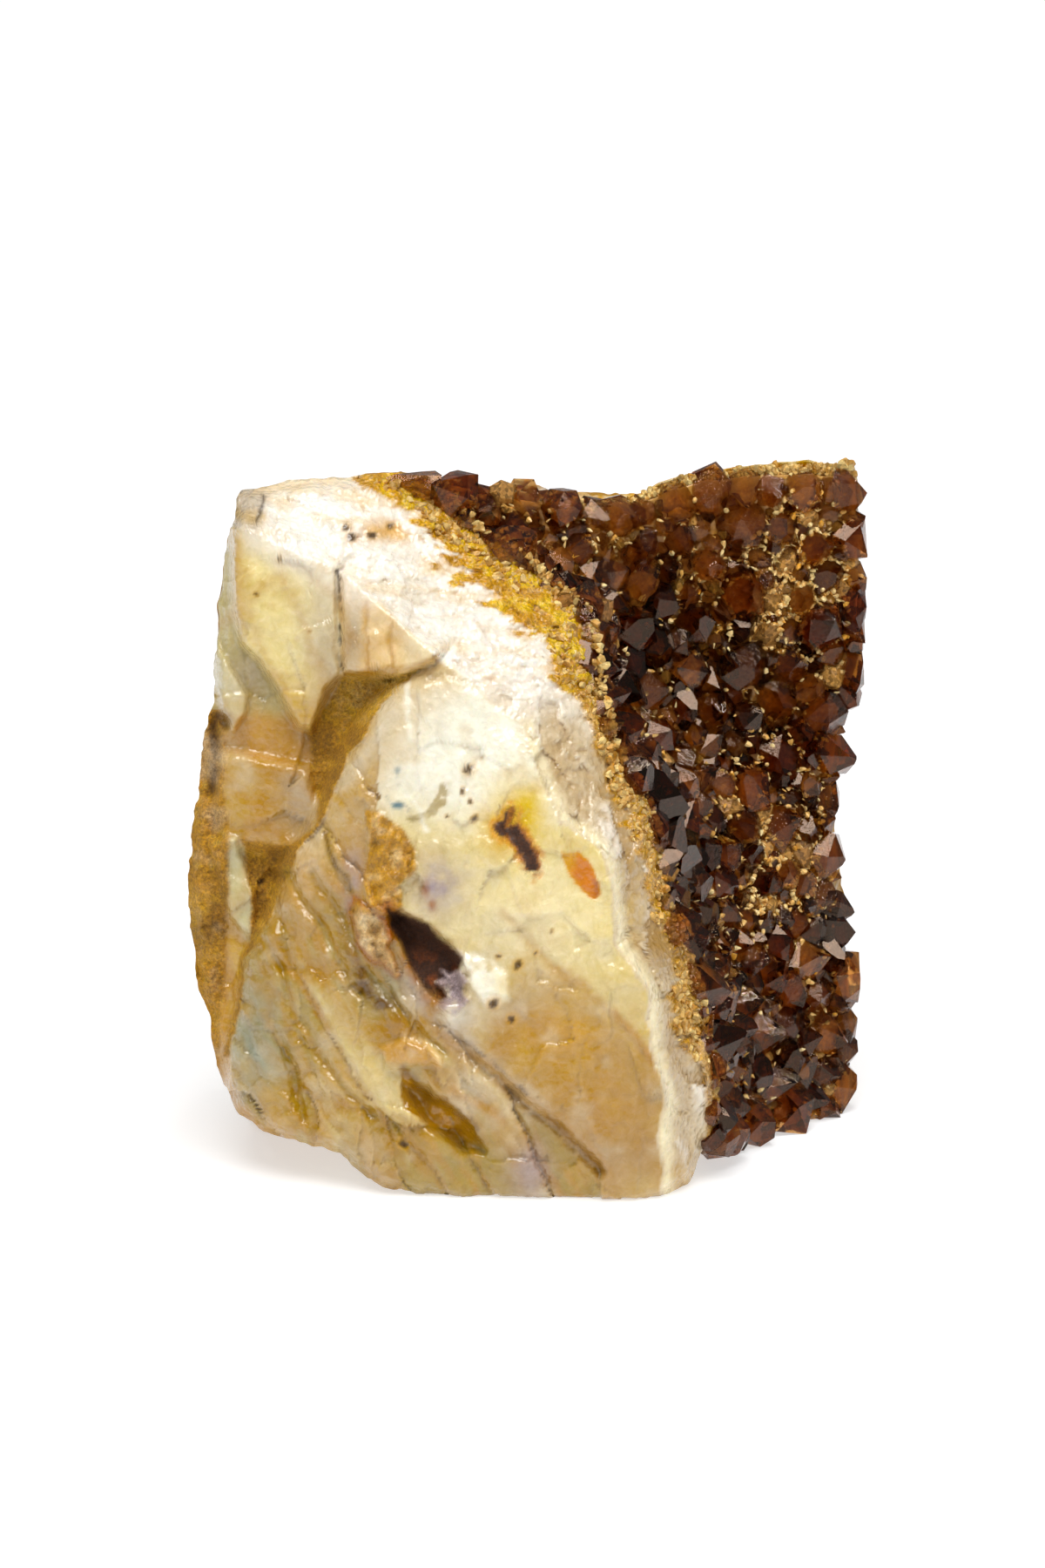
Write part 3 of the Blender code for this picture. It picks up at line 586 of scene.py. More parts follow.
LOWER_CRUST = (
    (-19.6, 35.5), (-18.0, 34.2), (-15.7, 32.9), (-14.7, 30.9), (-15.2, 29.4), (-14.0, 26.6),
    (-14.5, 26.1), (-17.5, 28.1), (-19.0, 29.9), (-19.8, 33.4),
)
HOLLOW = (
    (-15.6, 34.4), (-13.2, 33.2), (-10.4, 31.4), (-8.2, 29.9), (-7.0, 28.6), (-7.4, 26.6), (-6.9, 23.6),
    (-9.8, 23.6), (-11.4, 25.6), (-12.8, 28.0), (-14.3, 31.0),
)
SHARDS = (
    (-9.6, 27.2), (-8.2, 26.6), (-7.0, 27.4), (-6.4, 25.6), (-7.2, 25.0), (-6.0, 23.6), (-7.6, 22.2),
    (-9.8, 22.8), (-8.6, 24.2), (-10.0, 25.6), (-8.8, 26.0),
)
CHALK = ((-7.6, 29.4), (-4.0, 28.4), (-1.9, 26.8), (-1.7, 23.6), (-4.0, 22.6), (-6.0, 25.4))
CLAY_PATCH = (
    (-16.5, 18.2), (-13.5, 19.2), (-11.0, 18.4), (-9.4, 16.6), (-9.2, 15.6), (-11.0, 15.9),
    (-15.9, 16.2),
)
BROWN_HALO = ((-17.5, 20.5), (-14.5, 22.5), (-11.0, 21.5), (-9.5, 19.0), (-12.5, 19.0), (-17.0, 17.4))
GOLD_SLOT = (
    (-14.0, 15.5), (-12.7, 14.5), (-9.2, 12.3), (-6.3, 9.9), (-4.5, 7.0), (-6.9, 8.2),
    (-10.4, 9.3), (-12.7, 11.1), (-13.9, 12.8),
)
LENS = (
    (4.5, 40.3), (6.3, 40.4), (7.3, 39.3), (8.3, 36.9), (8.6, 35.6), (8.0, 34.9), (7.3, 35.2),
    (5.4, 37.8),
)
TEAL_STAIN = ((-15.8, 47.4), (-13.7, 47.1), (-13.1, 45.0), (-14.8, 45.8))
FRONT_CRACK_FACE = ((-13.5, 27.5), (-10.5, 22.6), (-6.0, 18.4))
UPPER_CRACK = ((0.2, 12.8), (-3.4, 16.0), (-6.9, 19.6))
FOLD_SHADOWS = (((-19.0, 26.8), (-18.2, 24.8), (-17.0, 23.4)), ((-16.8, 23.2), (-15.0, 22.6), (-12.4, 21.4)))
STAIN_HEAD = ((-1.2, 45.2), (-1.3, 44.2), (-2.6, 43.2), (-2.0, 42.6))
STAIN_BODY = ((-1.1, 43.2), (0.1, 41.6), (1.0, 40.0), (1.2, 38.8))
LOOP = ((-13.0, 44.4), (-10.9, 44.8), (-9.7, 46.6), (-9.2, 48.0), (-8.6, 47.0), (-10.2, 45.2))

# Natural specks, each with its radius: dark dots of iron and manganese
SPECKS = (
    ((-6.0, 50.0), 0.55), ((-6.7, 47.4), 0.26), ((-5.9, 46.5), 0.26), ((-5.5, 44.5), 0.3),
    ((-8.4, 45.0), 0.22), ((-0.4, 27.4), 0.4), ((-2.7, 28.5), 0.3), ((-1.0, 21.6), 0.45),
    ((-3.4, 23.2), 0.5), ((-13.6, 6.9), 0.5), ((-20.4, 77.8), 0.45), ((-20.0, 76.7), 0.5),
    ((-17.6, 77.0), 0.4), ((-15.2, 78.2), 0.35), ((1.6, 29.0), 0.25), ((3.4, 31.5), 0.2),
    ((-27.5, 74.5), 0.2), ((-30.5, 70.2), 0.18), ((-24.6, 66.0), 0.18), ((-29.9, 36.9), 0.4),
)
SPECK_HALO = 2.6

# Directions in which the broken surfaces are drawn out, in degrees from the horizontal
BRUSH_ANGLE = -9.0
FOLD_ANGLE = -60.0
COLUMN_ANGLE = -72.0
WALL_CRACK_ANGLE = -75.0
FOLD_HEIGHT = 1.35


def zones(across, up):
    """The stone's natural zones by name, most of them 1 where they are and 0 elsewhere.

    Their edges are ragged. The folds, brush marks and columns are heights, and two are distances.
    """
    a, h = strayed(across, up, ((0.7, 4.0, 41, 45), (0.25, 1.0, 42, 46)))
    from_crest = beside(a, h, CREST)[0]
    from_arc = beside(a, h, ARC)[0]
    from_rim = beside(across, up, RIM)[0]
    from_crack = beside(a, h, CRACK + ENCRUSTATION[1:])[0]
    facet = smooth(from_crest / 0.8 + 0.5)
    block = smooth(from_arc / 0.4 + 0.5) * (1 - facet) * (up < 63)
    wall = (1 - facet) * (1 - block)
    brushed = fractal(*drawn_out(a, h, BRUSH_ANGLE, 3), 0.9, 47)
    gold_width = np.interp(up, GOLD_HEIGHTS, GOLD_WIDTHS) * (1 + 0.55 * brushed)
    rind_edge = -34.0 - 0.0012 * (up - 40) ** 2
    flake = patch(a, h, FLAKE, 0.5)
    crusts = np.maximum(patch(a, h, UPPER_CRUST, 0.5), patch(a, h, LOWER_CRUST, 0.5))
    fold, fold_crack = slivers(a, h, 6.2, 57, FOLD_ANGLE, 3.2)
    small_fold, small_crack = slivers(a, h, 2.6, 60, FOLD_ANGLE, 3.0)
    brush, brush_crack = slivers(a, h, 1.7, 73, BRUSH_ANGLE, 2.6)
    small_brush, small_brush_crack = slivers(a, h, 0.85, 78, BRUSH_ANGLE, 1.8)
    column, column_crack = slivers(a, h, 2.8, 83, COLUMN_ANGLE, 2.2)
    small_column = slivers(a, h, 1.1, 88, COLUMN_ANGLE, 1.5)[0]
    return {
        "fold": 0.8 * fold + 0.2 * small_fold,
        "fold_crack": np.maximum(fold_crack, small_crack * smooth(1.5 * fractal(a, h, 5.0, 64))),
        "brush": 0.6 * brush + 0.35 * small_brush,
        "brush_crack": np.maximum(brush_crack, 0.7 * small_brush_crack),
        "column": 0.7 * column + 0.3 * small_column,
        "column_crack": column_crack,
        "near_rim": smooth(1 + from_rim / 9.0),
        "wall_crack": slivers(a, h, 6.5, 161, WALL_CRACK_ANGLE, 2.0)[1],
        "facet": facet,
        "block": block,
        "wall": wall,
        "left": block * smooth(-from_crack / (1.0 + 4.0 * smooth((h - 33) / 6)) + 0.5),
        "from_crack": from_crack,
        "from_crest": from_crest,
        "earth": wall * patch(a, h, EARTH, 0.7),
        "rind": wall * smooth((rind_edge - a) / 0.8 + 0.5) * (up < 57) * (1 - flake),
        "gold": smooth((from_rim + gold_width) / 0.9 + 0.5) * (from_rim < 0.6 + 0.9 * smooth((up - 50) / 8)),
        "bronze": smooth((from_rim + 0.7) / 0.7 + 0.5),
        "band": facet * smooth((61 - up) / 9),
        "crusts": crusts * block,
        "hollow": patch(a, h, HOLLOW, 0.5),
        "shards": patch(a, h, SHARDS, 0.5),
        "slot": patch(a, h, GOLD_SLOT, 0.7),
    }


def relief(across, up, zone):
    """Fine relief of the front, positive away from the viewer."""
    a, h = strayed(across, up, ((0.9, 5.0, 51, 55),))
    depth = (FOLD_HEIGHT * zone["fold"] + 0.35 * zone["fold_crack"]) * zone["left"]
    depth = depth + 0.6 * facets(a, h, 6.5, 63) * (1 - zone["facet"])
    depth = depth + 0.2 * facets(a, h, 2.1, 68) * (zone["block"] + 0.6 * zone["wall"])
    brushed = zone["brush"] + 0.04 * zone["brush_crack"]
    depth = depth + 1.0 * brushed * zone["facet"] * (1 - zone["band"])
    depth = depth - (1.1 - 0.35 * facets(across, up, 1.9, 103)) * zone["shards"]
    depth = depth + (1.5 * zone["column"] + 0.15 * zone["column_crack"]) * zone["band"]
    depth = depth + 0.5 * facets(across, up, 1.0, 93) * zone["gold"]
    depth = depth - 0.35 * grains(across, up, 1.7, 98) * zone["gold"]
    earthy = zone["earth"] + zone["rind"] + 0.7 * zone["crusts"]
    depth = depth + 1.3 * fractal(across, up, 1.5, 107) * zone["crusts"]
    depth = depth - (0.25 * grains(across, up, 0.85, 65) + 0.2 * grains(across, up, 1.9, 66)) * earthy
    depth = depth + 0.35 * fractal(a, h, 3.0, 67) * earthy - 0.5 * zone["crusts"]
    for line in CREASES:
        depth = depth + 0.55 * near(a, h, line, 0.8)
    depth = depth + 0.15 * near(a, h, SEAM, 0.6) + 0.8 * zone["hollow"] + 0.6 * zone["slot"]
    right_of_crack = zone["block"] * (1 - zone["left"]) * smooth((31 - h) / 4)
    depth = depth - 1.0 * right_of_crack * smooth(1 - zone["from_crack"] / 9.0)
    depth = depth - 0.9 * patch(a, h, CLAY_PATCH, 0.6) - 0.3 * patch(a, h, CHALK, 0.9)
    depth = depth + 0.3 * near(a, h, SLAB_CRACK, 0.4) + 1.5 * near(a, h, GAP, 1.1)
    return depth


def wall_layers(a, h, zone, haze, fine):
    """Slabs of yellow chalcedony on an earthy floor, over an orange ledge and a banded step, with painted
    light beside the upper slab and on the top of the earthy floor.
    """
    wall = zone["wall"]
    upper = patch(a, h, UPPER_SLAB, 1.0) * wall
    middle = patch(a, h, MIDDLE_SLAB, 1.0) * wall
    lower = patch(a, h, LOWER_SLAB, 1.2) * wall
    flake = patch(a, h, FLAKE, 0.8) * wall
    banded = patch(a, h, BANDED_STEP, 1.0) * (1 - zone["facet"])
    return [
        ("toffee", wall * (0.65 + 0.35 * haze)),
        ("sage", 0.85 * wall * patch(a, h, PALE_WALL, 2.4)),
        # Painted light: paler beside the upper slab, where the raised slab shades the wall
        ("honey", 0.4 * wall * haze * cloud(a, h, (-29.0, 60.0), (5.0, 8.0))),
        ("ash", 0.5 * wall * cloud(a, h, (-31.5, 60.5), (2.0, 5.0))),
        ("clay", patch(a, h, LEDGE, 2.6) * wall * (0.5 + 0.5 * fine)),
        ("toffee", 0.7 * near(a, h, LEDGE[4:] + LEDGE[3:4], 1.0) * wall),
        ("straw", np.maximum(upper, 0.55 * middle)),
        ("honey", upper * (0.8 * smooth((64 - h) / 8) + 0.45 * haze * smooth((-29.5 - a) / 3))),
        ("straw", upper * 0.7 * cloud(a, h, (-27.5, 72.5), (3.5, 6))),
        ("honey", upper * 0.4 * smooth(2.6 * fine - 1.5)),
        ("milk", upper * cloud(a, h, (-22.8, 68), (2.8, 8.5)) * 0.7),
        ("ash", upper * cloud(a, h, (-22.2, 63), (2.4, 5.0)) * 0.6),
        ("honey", upper * 0.6 * near(a, h, UPPER_SLAB[4:8], 1.6)),
        ("toffee", upper * 0.4 * near(a, h, ((-33.4, 78), (-33.0, 71), (-32.4, 64)), 1.1)),
        ("honey", middle * (0.55 + 0.4 * haze)),
        ("tan", 0.4 * middle),
        ("toffee", middle * 0.6 * smooth(2.0 * (1 - haze) - 0.6)),
        ("ash", middle * 0.7 * cloud(a, h, (-25.6, 46), (2.6, 6))),
        ("sage", np.maximum(lower, 0.55 * flake)),
        ("milk", 0.4 * flake + 0.3 * lower * haze),
        ("honey", patch(a, h, FOOT_FACET, 0.8) * wall),
        ("peach", banded),
        ("ash", banded * cloud(a, h, (-19.7, 65.2), (1.5, 5.2)) * 0.95),
        ("cream", banded * smooth((a + 15) / 2.5) * 0.8),
        ("toffee", 0.6 * banded * near_any(a, h, BAND_LINES, 0.4)),
        ("amber", 0.5 * banded * near(a, h, ((-18.2, 69), (-18.3, 66.5)), 0.6)),
        ("earth", zone["earth"]),
        ("soil_and_shade", 0.5 * zone["earth"] * smooth(1.1 - 1.6 * fine) * (0.35 + 0.5 * haze)),
        ("honey", 0.4 * zone["earth"] * smooth(2.2 * fine - 1.1)),
        # Painted light: the top of the earthy floor is paler, where it faces down away from the light
        ("honey", 0.8 * zone["earth"] * smooth((h - 54.0) / 5)),
        ("rind", zone["rind"]),
        ("honey", 0.6 * zone["rind"] * smooth(2.4 * fine - 1.4)),
        ("soil_and_shade", 0.75 * zone["rind"] * smooth(1.3 - 2 * haze) + 0.9 * near(a, h, GAP, 1.0)),
        ("toffee", 0.3 * wall * (1 - zone["earth"]) * zone["wall_crack"]),
    ]


def block_layers(a, h, zone, haze, fine):
    """The shield-shaped block: pale and waxy at its top, brown below, folded and olive at its left. The pale
    top and brown foot are partly painted light and shade, and the folds carry painted shade and highlights.
    """
    block = zone["block"]
    left = zone["left"]
    fold = zone["fold"]
    thin_folds = 0.5 + 0.7 * fractal(*drawn_out(a, h, FOLD_ANGLE, 6), 0.9, 59)
    low = smooth((27 - h) / 22)
    return [
        # Painted shade, partly the stone's own colour: browner towards the bottom, where less light from
        # above falls
        ("honey", block * low * (0.35 + 0.65 * haze)),
        ("honey", block * patch(a, h, BELOW_SEAM, 2.5) * (0.6 + 0.4 * haze)),
        ("toffee", block * patch(a, h, BELOW_SEAM, 4.0) * 0.75 * smooth(1.8 * haze - 0.5)),
        ("toffee", block * low * smooth(2 * haze - 0.75) * 0.75),
        ("tan", block * (0.5 * patch(a, h, BELOW_SEAM, 4.0) + 0.35 * low)),
        ("toffee", block * 0.9 * cloud(a, h, (8.5, 12.5), (7, 7)) * (0.5 + 0.5 * haze)),
        ("straw", (block - left) * 0.55 * smooth((44 - h) / 6) * smooth((h - 28) / 4)),
        ("tan", 0.22 * block * smooth((34 - h) / 12)),
        ("amber", block * 0.4 * cloud(a, h, (5.0, 19.5), (4, 3))),
        ("ash", block * 0.6 * cloud(a, h, (3.5, 5.0), (9, 3.5))),
        # Painted light, partly the stone's own paleness: near white at the top, where the light from above
        # falls full on it
        ("snow", block * smooth((h - 43 + 3 * haze) / 7) * (1 - 0.6 * left)),
        ("cream", block * 0.7 * cloud(a, h, (1.0, 33), (7, 7))),
        ("yellow", 0.7 * cloud(a, h, (0.4, 46.0), (3.0, 3.2)) + 0.45 * cloud(a, h, (-1.4, 42.8), (4.0, 4.6))),
        # Painted shade, partly the stone's own colour: the folded left part is tan, darker on faces that turn
        # left and down away from the light
        ("tan", left * (0.75 + 0.25 * haze)),
        ("ash", left * 0.6 * cloud(a, h, (-25.0, 35.0), (6.0, 9.0)) * smooth(2.0 * haze - 0.4)),
        ("sage", left * 0.55 * smooth((36 - h) / 10) * smooth(1.7 * haze - 0.4)),
        # Painted shade and highlight on the folds: olive where they lie deeper, straw where they stand proud
        ("olive", left * 0.85 * smooth((40 - h) / 10) * smooth(0.7 + 1.5 * fold)),
        ("toffee", left * 0.7 * smooth(1.7 * (1 - thin_folds) - 0.5) * (0.4 + 0.6 * haze)),
        ("straw", left * 0.6 * smooth(-1.6 * fold - 0.2) * smooth((44 - h) / 6)),
        ("earth", left * 0.8 * zone["fold_crack"] * (0.25 + 0.75 * fine)),
        ("toffee", left * 0.7 * smooth((h - 33) / 5) * (0.3 + 0.7 * haze)),
        ("slate", left * cloud(a, h, (-30.8, 18.5), (3.2, 6.5)) * (0.5 + 0.4 * thin_folds)),
        ("slate", left * 0.5 * cloud(a, h, (-15.5, 24), (2.0, 4.0))),
        ("milk", block * 0.4 * cloud(a, h, (-16.5, 51), (3.6, 7.5))),
        ("honey", block * 0.7 * near(a, h, ARC[5:], 7.0)),
        ("milk", block * 0.6 * near(a, h, ((-20.5, 48.0), (-17.0, 53.0), (-14.5, 57.5)), 1.8)),
        ("milk", left * 0.75 * cloud(a, h, (-24.2, 41.5), (1.9, 4.4)) * (0.5 + 0.5 * thin_folds)),
        # Painted shadow between the folds, in the dark soil colour
        ("soil_and_shade", left * 0.85 * near(a, h, FOLD_SHADE_LINE, 1.6) * (0.4 + 0.6 * fine)),
        ("lilac", block * 0.75 * cloud(a, h, (-19.8, 37.5), (1.2, 3.8))),
        ("snow", block * 0.8 * near(a, h, ((-13.6, 62), (-13.0, 56), (-13.2, 48.5), (-11.0, 43)), 0.6)),
        ("lilac", cloud(a, h, (-9.8, 36.8), (3.4, 4.2)) * (0.55 + 0.5 * fine)),
        ("lilac", 0.8 * cloud(a, h, (1.2, 3.8), (2.2, 3.4)) + 0.5 * cloud(a, h, (-7.0, 21.5), (2.6, 1.6))),
        ("ash", 0.75 * block * near(a, h, ((-13.0, 25.0), (-9.0, 21.0), (-3.4, 15.4), (2.0, 10.8)), 2.4)),
        ("lilac", 0.6 * block * near(a, h, FRONT_CRACK_FACE, 1.8) * (0.4 + 0.6 * fine)),
        ("milk", block * 0.5 * cloud(a, h, (-6.0, 12.5), (3.5, 2.5))),
        ("ash", 0.45 * block * near(a, h, CRACK[3:], 2.2)),
        ("earth", 0.8 * block * patch(a, h, BROWN_HALO, 1.6) * (0.35 + 0.65 * fine)),
        ("clay", 0.9 * patch(a, h, CLAY_PATCH, 0.8) + 0.6 * block * cloud(a, h, (-25.2, 36.0), (1.6, 4.2))),
        ("peach", 0.6 * near(a, h, CLAY_PATCH[1:4], 0.8)),
        ("ash", 0.5 * block * cloud(a, h, (-3.6, 25.5), (5.0, 5.5))),
        ("snow", patch(a, h, CHALK, 1.2) * smooth(0.2 + 1.5 * fine)),
        ("snow", 0.8 * cloud(a, h, (-8.0, 22.2), (1.6, 1.2))),
        ("yellow", 0.3 * cloud(a, h, (-2.6, 25.2), (1.2, 2.2))),
        ("toffee", 0.75 * block * near(a, h, SEAM, 1.1) * (0.4 + 0.6 * haze)),
        ("toffee", 0.7 * block * near(a, h, ((10.5, 21.8), (15.4, 16.6)), 0.8)),
        ("olive", 0.55 * near_any(a, h, CREASES, 0.9)),
        ("earth", 0.65 * near_any(a, h, CREASES, 0.45) * (0.4 + 0.6 * fine)),
        ("toffee", 0.6 * near(a, h, ((-7.7, 13.5), (-5.0, 11.4), (-2.2, 9.6)), 1.0)),
        ("rind", 0.9 * zone["slot"]),
        ("amber", 0.4 * zone["slot"] * fine),
        ("earth", 0.8 * zone["slot"] * smooth(1.5 - 1.7 * fine)),
        ("soil_and_shade", 0.8 * block * near(a, h, GOLD_SLOT[:5], 0.9) * (0.4 + 0.6 * fine)),
        ("rind", 0.85 * near(a, h, ((-35.4, 17.5), (-33.0, 11.5), (-29.0, 8.4)), 1.3)),
    ]


def facet_layers(a, h, zone, haze, fine):
    """The bright broken quartz at the top, the granular band below it, and the gold of the rim, with painted
    shade in grooves and deep columns and painted light on the top, the proud columns and the upper gold.
    """
    facet = zone["facet"]
    band = zone["band"]
    upper = facet * (1 - band)
    streak = 0.5 + 0.7 * fractal(*drawn_out(a, h, BRUSH_ANGLE, 4), 1.1, 111)
    # Painted shade on the band's deeper columns
    painted_column_shade = smooth(0.5 + 1.1 * zone["column"]) * (0.45 + 0.55 * haze)
    gold = zone["gold"]
    high = smooth((h - 54) / 8)
    return [
        ("white", facet),
        # Painted light: whiter near the crest at the top, where the light falls full on the shoulder
        ("white", 0.75 * smooth(1 + zone["from_crest"] / 4.0) * smooth((h - 66) / 5) * smooth((a + 34) / 3)),
        # Painted shade: beige and milk in the brushed facet's grooves and cracks
        ("beige", upper * 0.45 * smooth(0.1 + 1.4 * zone["brush"]) * smooth((a + 26) / 16)),
        ("peach", upper * 0.45 * smooth(2.4 * streak - 1.2)),
        ("milk", upper * 0.6 * smooth(2.6 * haze - 1.3) * smooth(0.5 + zone["brush"])),
        ("beige", upper * 0.3 * zone["brush_crack"] * smooth(2.6 * streak - 1.1)),
        ("amber", upper * 0.8 * zone["near_rim"] * zone["brush_crack"] * smooth(2.6 * streak - 0.9)),
        ("amber", 0.5 * upper * near(a, h, ((-8, 56), (-5, 58), (-3.6, 60)), 1.6) * smooth(2.6 * fine - 1)),
        ("ash", 0.85 * patch(a, h, UPPER_CORNER, 2.2) * (0.5 + 0.5 * haze)),
        ("honey", 0.6 * near(a, h, ((-33.0, 79.5), (-30.0, 79.0)), 1.4)),
        ("peach", 0.6 * upper * near(a, h, ((-30.0, 82.6), (-20.0, 83.6), (-14.0, 84.4)), 1.4)),
        ("soot", 0.75 * near(a, h, ((-29.7, 81.4), (-30.5, 78.8)), 0.45)),
        ("milk", band),
        ("beige", 0.35 * band),
        ("beige", band * 0.85 * painted_column_shade),
        ("glassy", band * 0.65 * painted_column_shade * smooth(1.8 * haze - 0.3)),
        ("glassy", band * (0.6 + 0.4 * haze) * np.maximum.reduce([
            cloud(a, h, (11.5, 40.0), (2.8, 6.5)), cloud(a, h, (15.6, 31), (2.4, 4)),
            0.8 * cloud(a, h, (17.2, 17), (3, 8)), 0.8 * cloud(a, h, (17.5, 5), (3, 4)),
        ])),
        ("toffee", 0.25 * band * zone["column_crack"] * (0.3 + 0.7 * fine)),
        # Painted shade on the deeper columns and painted highlight on the proud ones
        ("ash", 0.4 * band * smooth(2.0 * zone["column"] - 0.4)),
        ("white", 0.6 * band * smooth(-2.2 * zone["column"] - 0.3)),
        ("honey", 0.55 * band * cloud(a, h, (12, 33), (1.6, 4.5))
         + 0.6 * band * cloud(a, h, (17.5, 2.5), (3, 2.5))),
        ("cream", 0.95 * band * near(a, h, tuple((x + 0.5, y) for x, y in CREST[:11]), 1.5)),
        ("amber", 0.75 * facet * cloud(a, h, (-15.4, 77.6), (3.4, 1.5)) * smooth(2.4 * fine - 0.5)),
        ("amber", 0.35 * facet * near(a, h, ((-7.6, 55.8), (-3.8, 57.6)), 0.7)),
        # Painted light, partly the gold's own colour: brighter towards the top, where the light falls more,
        # with darker bronze lower
        ("amber", gold * (0.7 + 0.3 * high)),
        ("bright_gold", gold * high * smooth(2.2 * fine - 0.8)),
        ("bronze", gold * smooth(1.3 - 3.2 * fine) * (0.5 - 0.25 * high)),
        ("bronze", zone["bronze"] * (0.08 + 0.25 * fine)),
    ]


def stain_layers(a, h, zone, fine):
    """Iron stains, earthy encrustations, the dark hollow, cracks and natural specks, with painted shade in
    two folds and a painted shadow line where the block's top meets the banded step.
    """
    dark_specks = np.zeros_like(a)
    halos = np.zeros_like(a)
    for middle, radius in SPECKS:
        from_middle = np.hypot(a - middle[0], h - middle[1])
        dark_specks = np.maximum(dark_specks, smooth((radius - from_middle) / BLOT_EDGE + 0.5))
        halos = np.maximum(halos, smooth(1 - from_middle / (SPECK_HALO * radius)))
    crusts = zone["crusts"]
    block = zone["block"]
    stain = np.maximum(blot(a, h, STAIN_HEAD, 0.4 + 0.3 * fine), blot(a, h, STAIN_BODY, 0.3 + 0.7 * fine))
    fringe = np.maximum(blot(a, h, STAIN_HEAD, 1.2), blot(a, h, STAIN_BODY, 1.55))
    lens = patch(a, h, LENS, 0.5)
    return [
        ("amber", 0.65 * halos),
        ("orange", 0.5 * fringe * smooth(2.4 * fine - 0.7)),
        ("amber", 0.6 * cloud(a, h, (-1.8, 43.0), (2.2, 2.4))),
        ("rust", 0.8 * np.maximum(blot(a, h, STAIN_BODY, 1.15) * smooth(2.4 * fine - 0.6), stain)),
        ("umber", stain * smooth(2.4 * fine - 0.5)),
        ("amber", lens),
        ("orange", lens * smooth((a - 0.25 * (h - 38) - 5.4) / 1.2 + 0.35)),
        ("rust", 0.6 * lens * cloud(a, h, (8.2, 36.2), (0.5, 1.6))),
        ("olive", 0.7 * blot(a, h, LOOP, 0.35) * smooth(2.6 * fine - 0.6)),
        ("clay", crusts),
        ("earth", 0.85 * crusts * smooth(1.6 - 2.4 * fine)),
        ("beige", 0.5 * crusts * smooth((34.5 - h) / 2)),
        ("cream", 0.4 * crusts * smooth(2.6 * fine - 1.4)),
        ("amber", 0.3 * crusts * smooth((h - 33) / 2)),
        ("soil_and_shade", 0.5 * crusts * smooth(1.1 - 2.6 * fine)),
        ("rust", 0.75 * near(a, h, LOWER_CRUST + LOWER_CRUST[:1], 0.7) * (0.4 + 0.6 * fine)),
        ("rust", 0.7 * np.maximum(
            cloud(a, h, (-11.2, 36.4), (0.5, 1.0)), cloud(a, h, (-10.4, 34.4), (0.6, 0.9)))),
        ("rust", 0.8 * block * near(a, h, HOLLOW[7:] + HOLLOW[:1], 1.7) * (0.4 + 0.6 * fine)),
        ("rust", 0.5 * block * near(a, h, HOLLOW[:5], 0.9) * (0.3 + 0.7 * fine)),
        ("umber", zone["hollow"]),
        ("rust", 0.6 * zone["hollow"] * smooth(2.2 * fine - 0.8) * smooth((31 - h) / 4)),
        ("lilac", 0.9 * zone["shards"]),
        ("milk", 0.7 * zone["shards"] * smooth(2.4 * fine - 1.0)),
        ("soil_and_shade", 0.9 * block * np.maximum(
            near(a, h, FOLD_SHADOWS[0], 0.8), near(a, h, FOLD_SHADOWS[1], 0.9)) * smooth(2.6 * fine - 0.5)),
        ("earth", 0.6 * np.maximum(
            cloud(a, h, (-14.5, 20.6), (3.0, 1.3)), cloud(a, h, (-10.0, 22.5), (1, 2)))),
        ("soot", 0.9 * near(a, h, ((9.0, 3.7), (6.5, 6.4), (4.3, 9.0), (3.0, 10.0)), 0.7)),
        ("toffee", 0.5 * near(a, h, CRACK[:5], 1.6)),
        ("soot", 0.6 * near(a, h, UPPER_CRACK, 0.45) * smooth(2.4 * fine - 0.4)),
        ("soot", 0.55 * near(a, h, CREASES[1], 0.3)
         + 0.95 * near(a, h, SLAB_CRACK, 0.32) * smooth(3 * fine - 0.6)),
        # Painted shadow line where the block's top meets the banded step
        ("earth", 0.7 * near(a, h, ((-20.4, 61.0), (-15.3, 61.6), (-12.0, 62.2), (-9.6, 63.2)), 0.6)),
        ("teal", 0.9 * patch(a, h, TEAL_STAIN, 0.6) * smooth(2.4 * fine - 0.3)),
        ("teal", 0.6 * cloud(a, h, (-14.5, 49.8), (0.4, 1.0)) * smooth(2.6 * fine - 0.7)),
        ("soot", dark_specks * 0.9),
    ]


# The stone's colours
PAINTS = {
    "stone": "#E9D8A2", "straw": "#F0DFA8", "cream": "#F8EBC8", "snow": "#FFFAE8", "milk": "#DED3BC",
    "white": "#FFF8EC", "beige": "#DAC29C", "glassy": "#A58454", "peach": "#F4D6A4", "ash": "#B7A488",
    "lilac": "#AC9C9C", "honey": "#CCAA68", "toffee": "#B5884A", "tan": "#AC8852", "olive": "#A08848",
    "sage": "#C9C096", "slate": "#8A9484", "yellow": "#E2C248", "clay": "#C8A068", "earth": "#AA7E38",
    # The dark brown of soil, also used for painted shade between the folds
    "soil_and_shade": "#5E3F18",
    "rind": "#B78C4E", "amber": "#D8A038", "bright_gold": "#EFC75E", "bronze": "#6E420C",
    "orange": "#D67F14", "rust": "#8E4510", "umber": "#42230F", "teal": "#4E7480", "soot": "#3A281A",
}


def lay(colour, layers):
    """The colour after each layer, which is a named paint and how much of it lies at each point."""
    for name, share in layers:
        share = np.clip(share, 0, 1)[:, None]
        colour = colour * (1 - share) + np.array(linear(PAINTS[name])[:3]) * share
    return colour


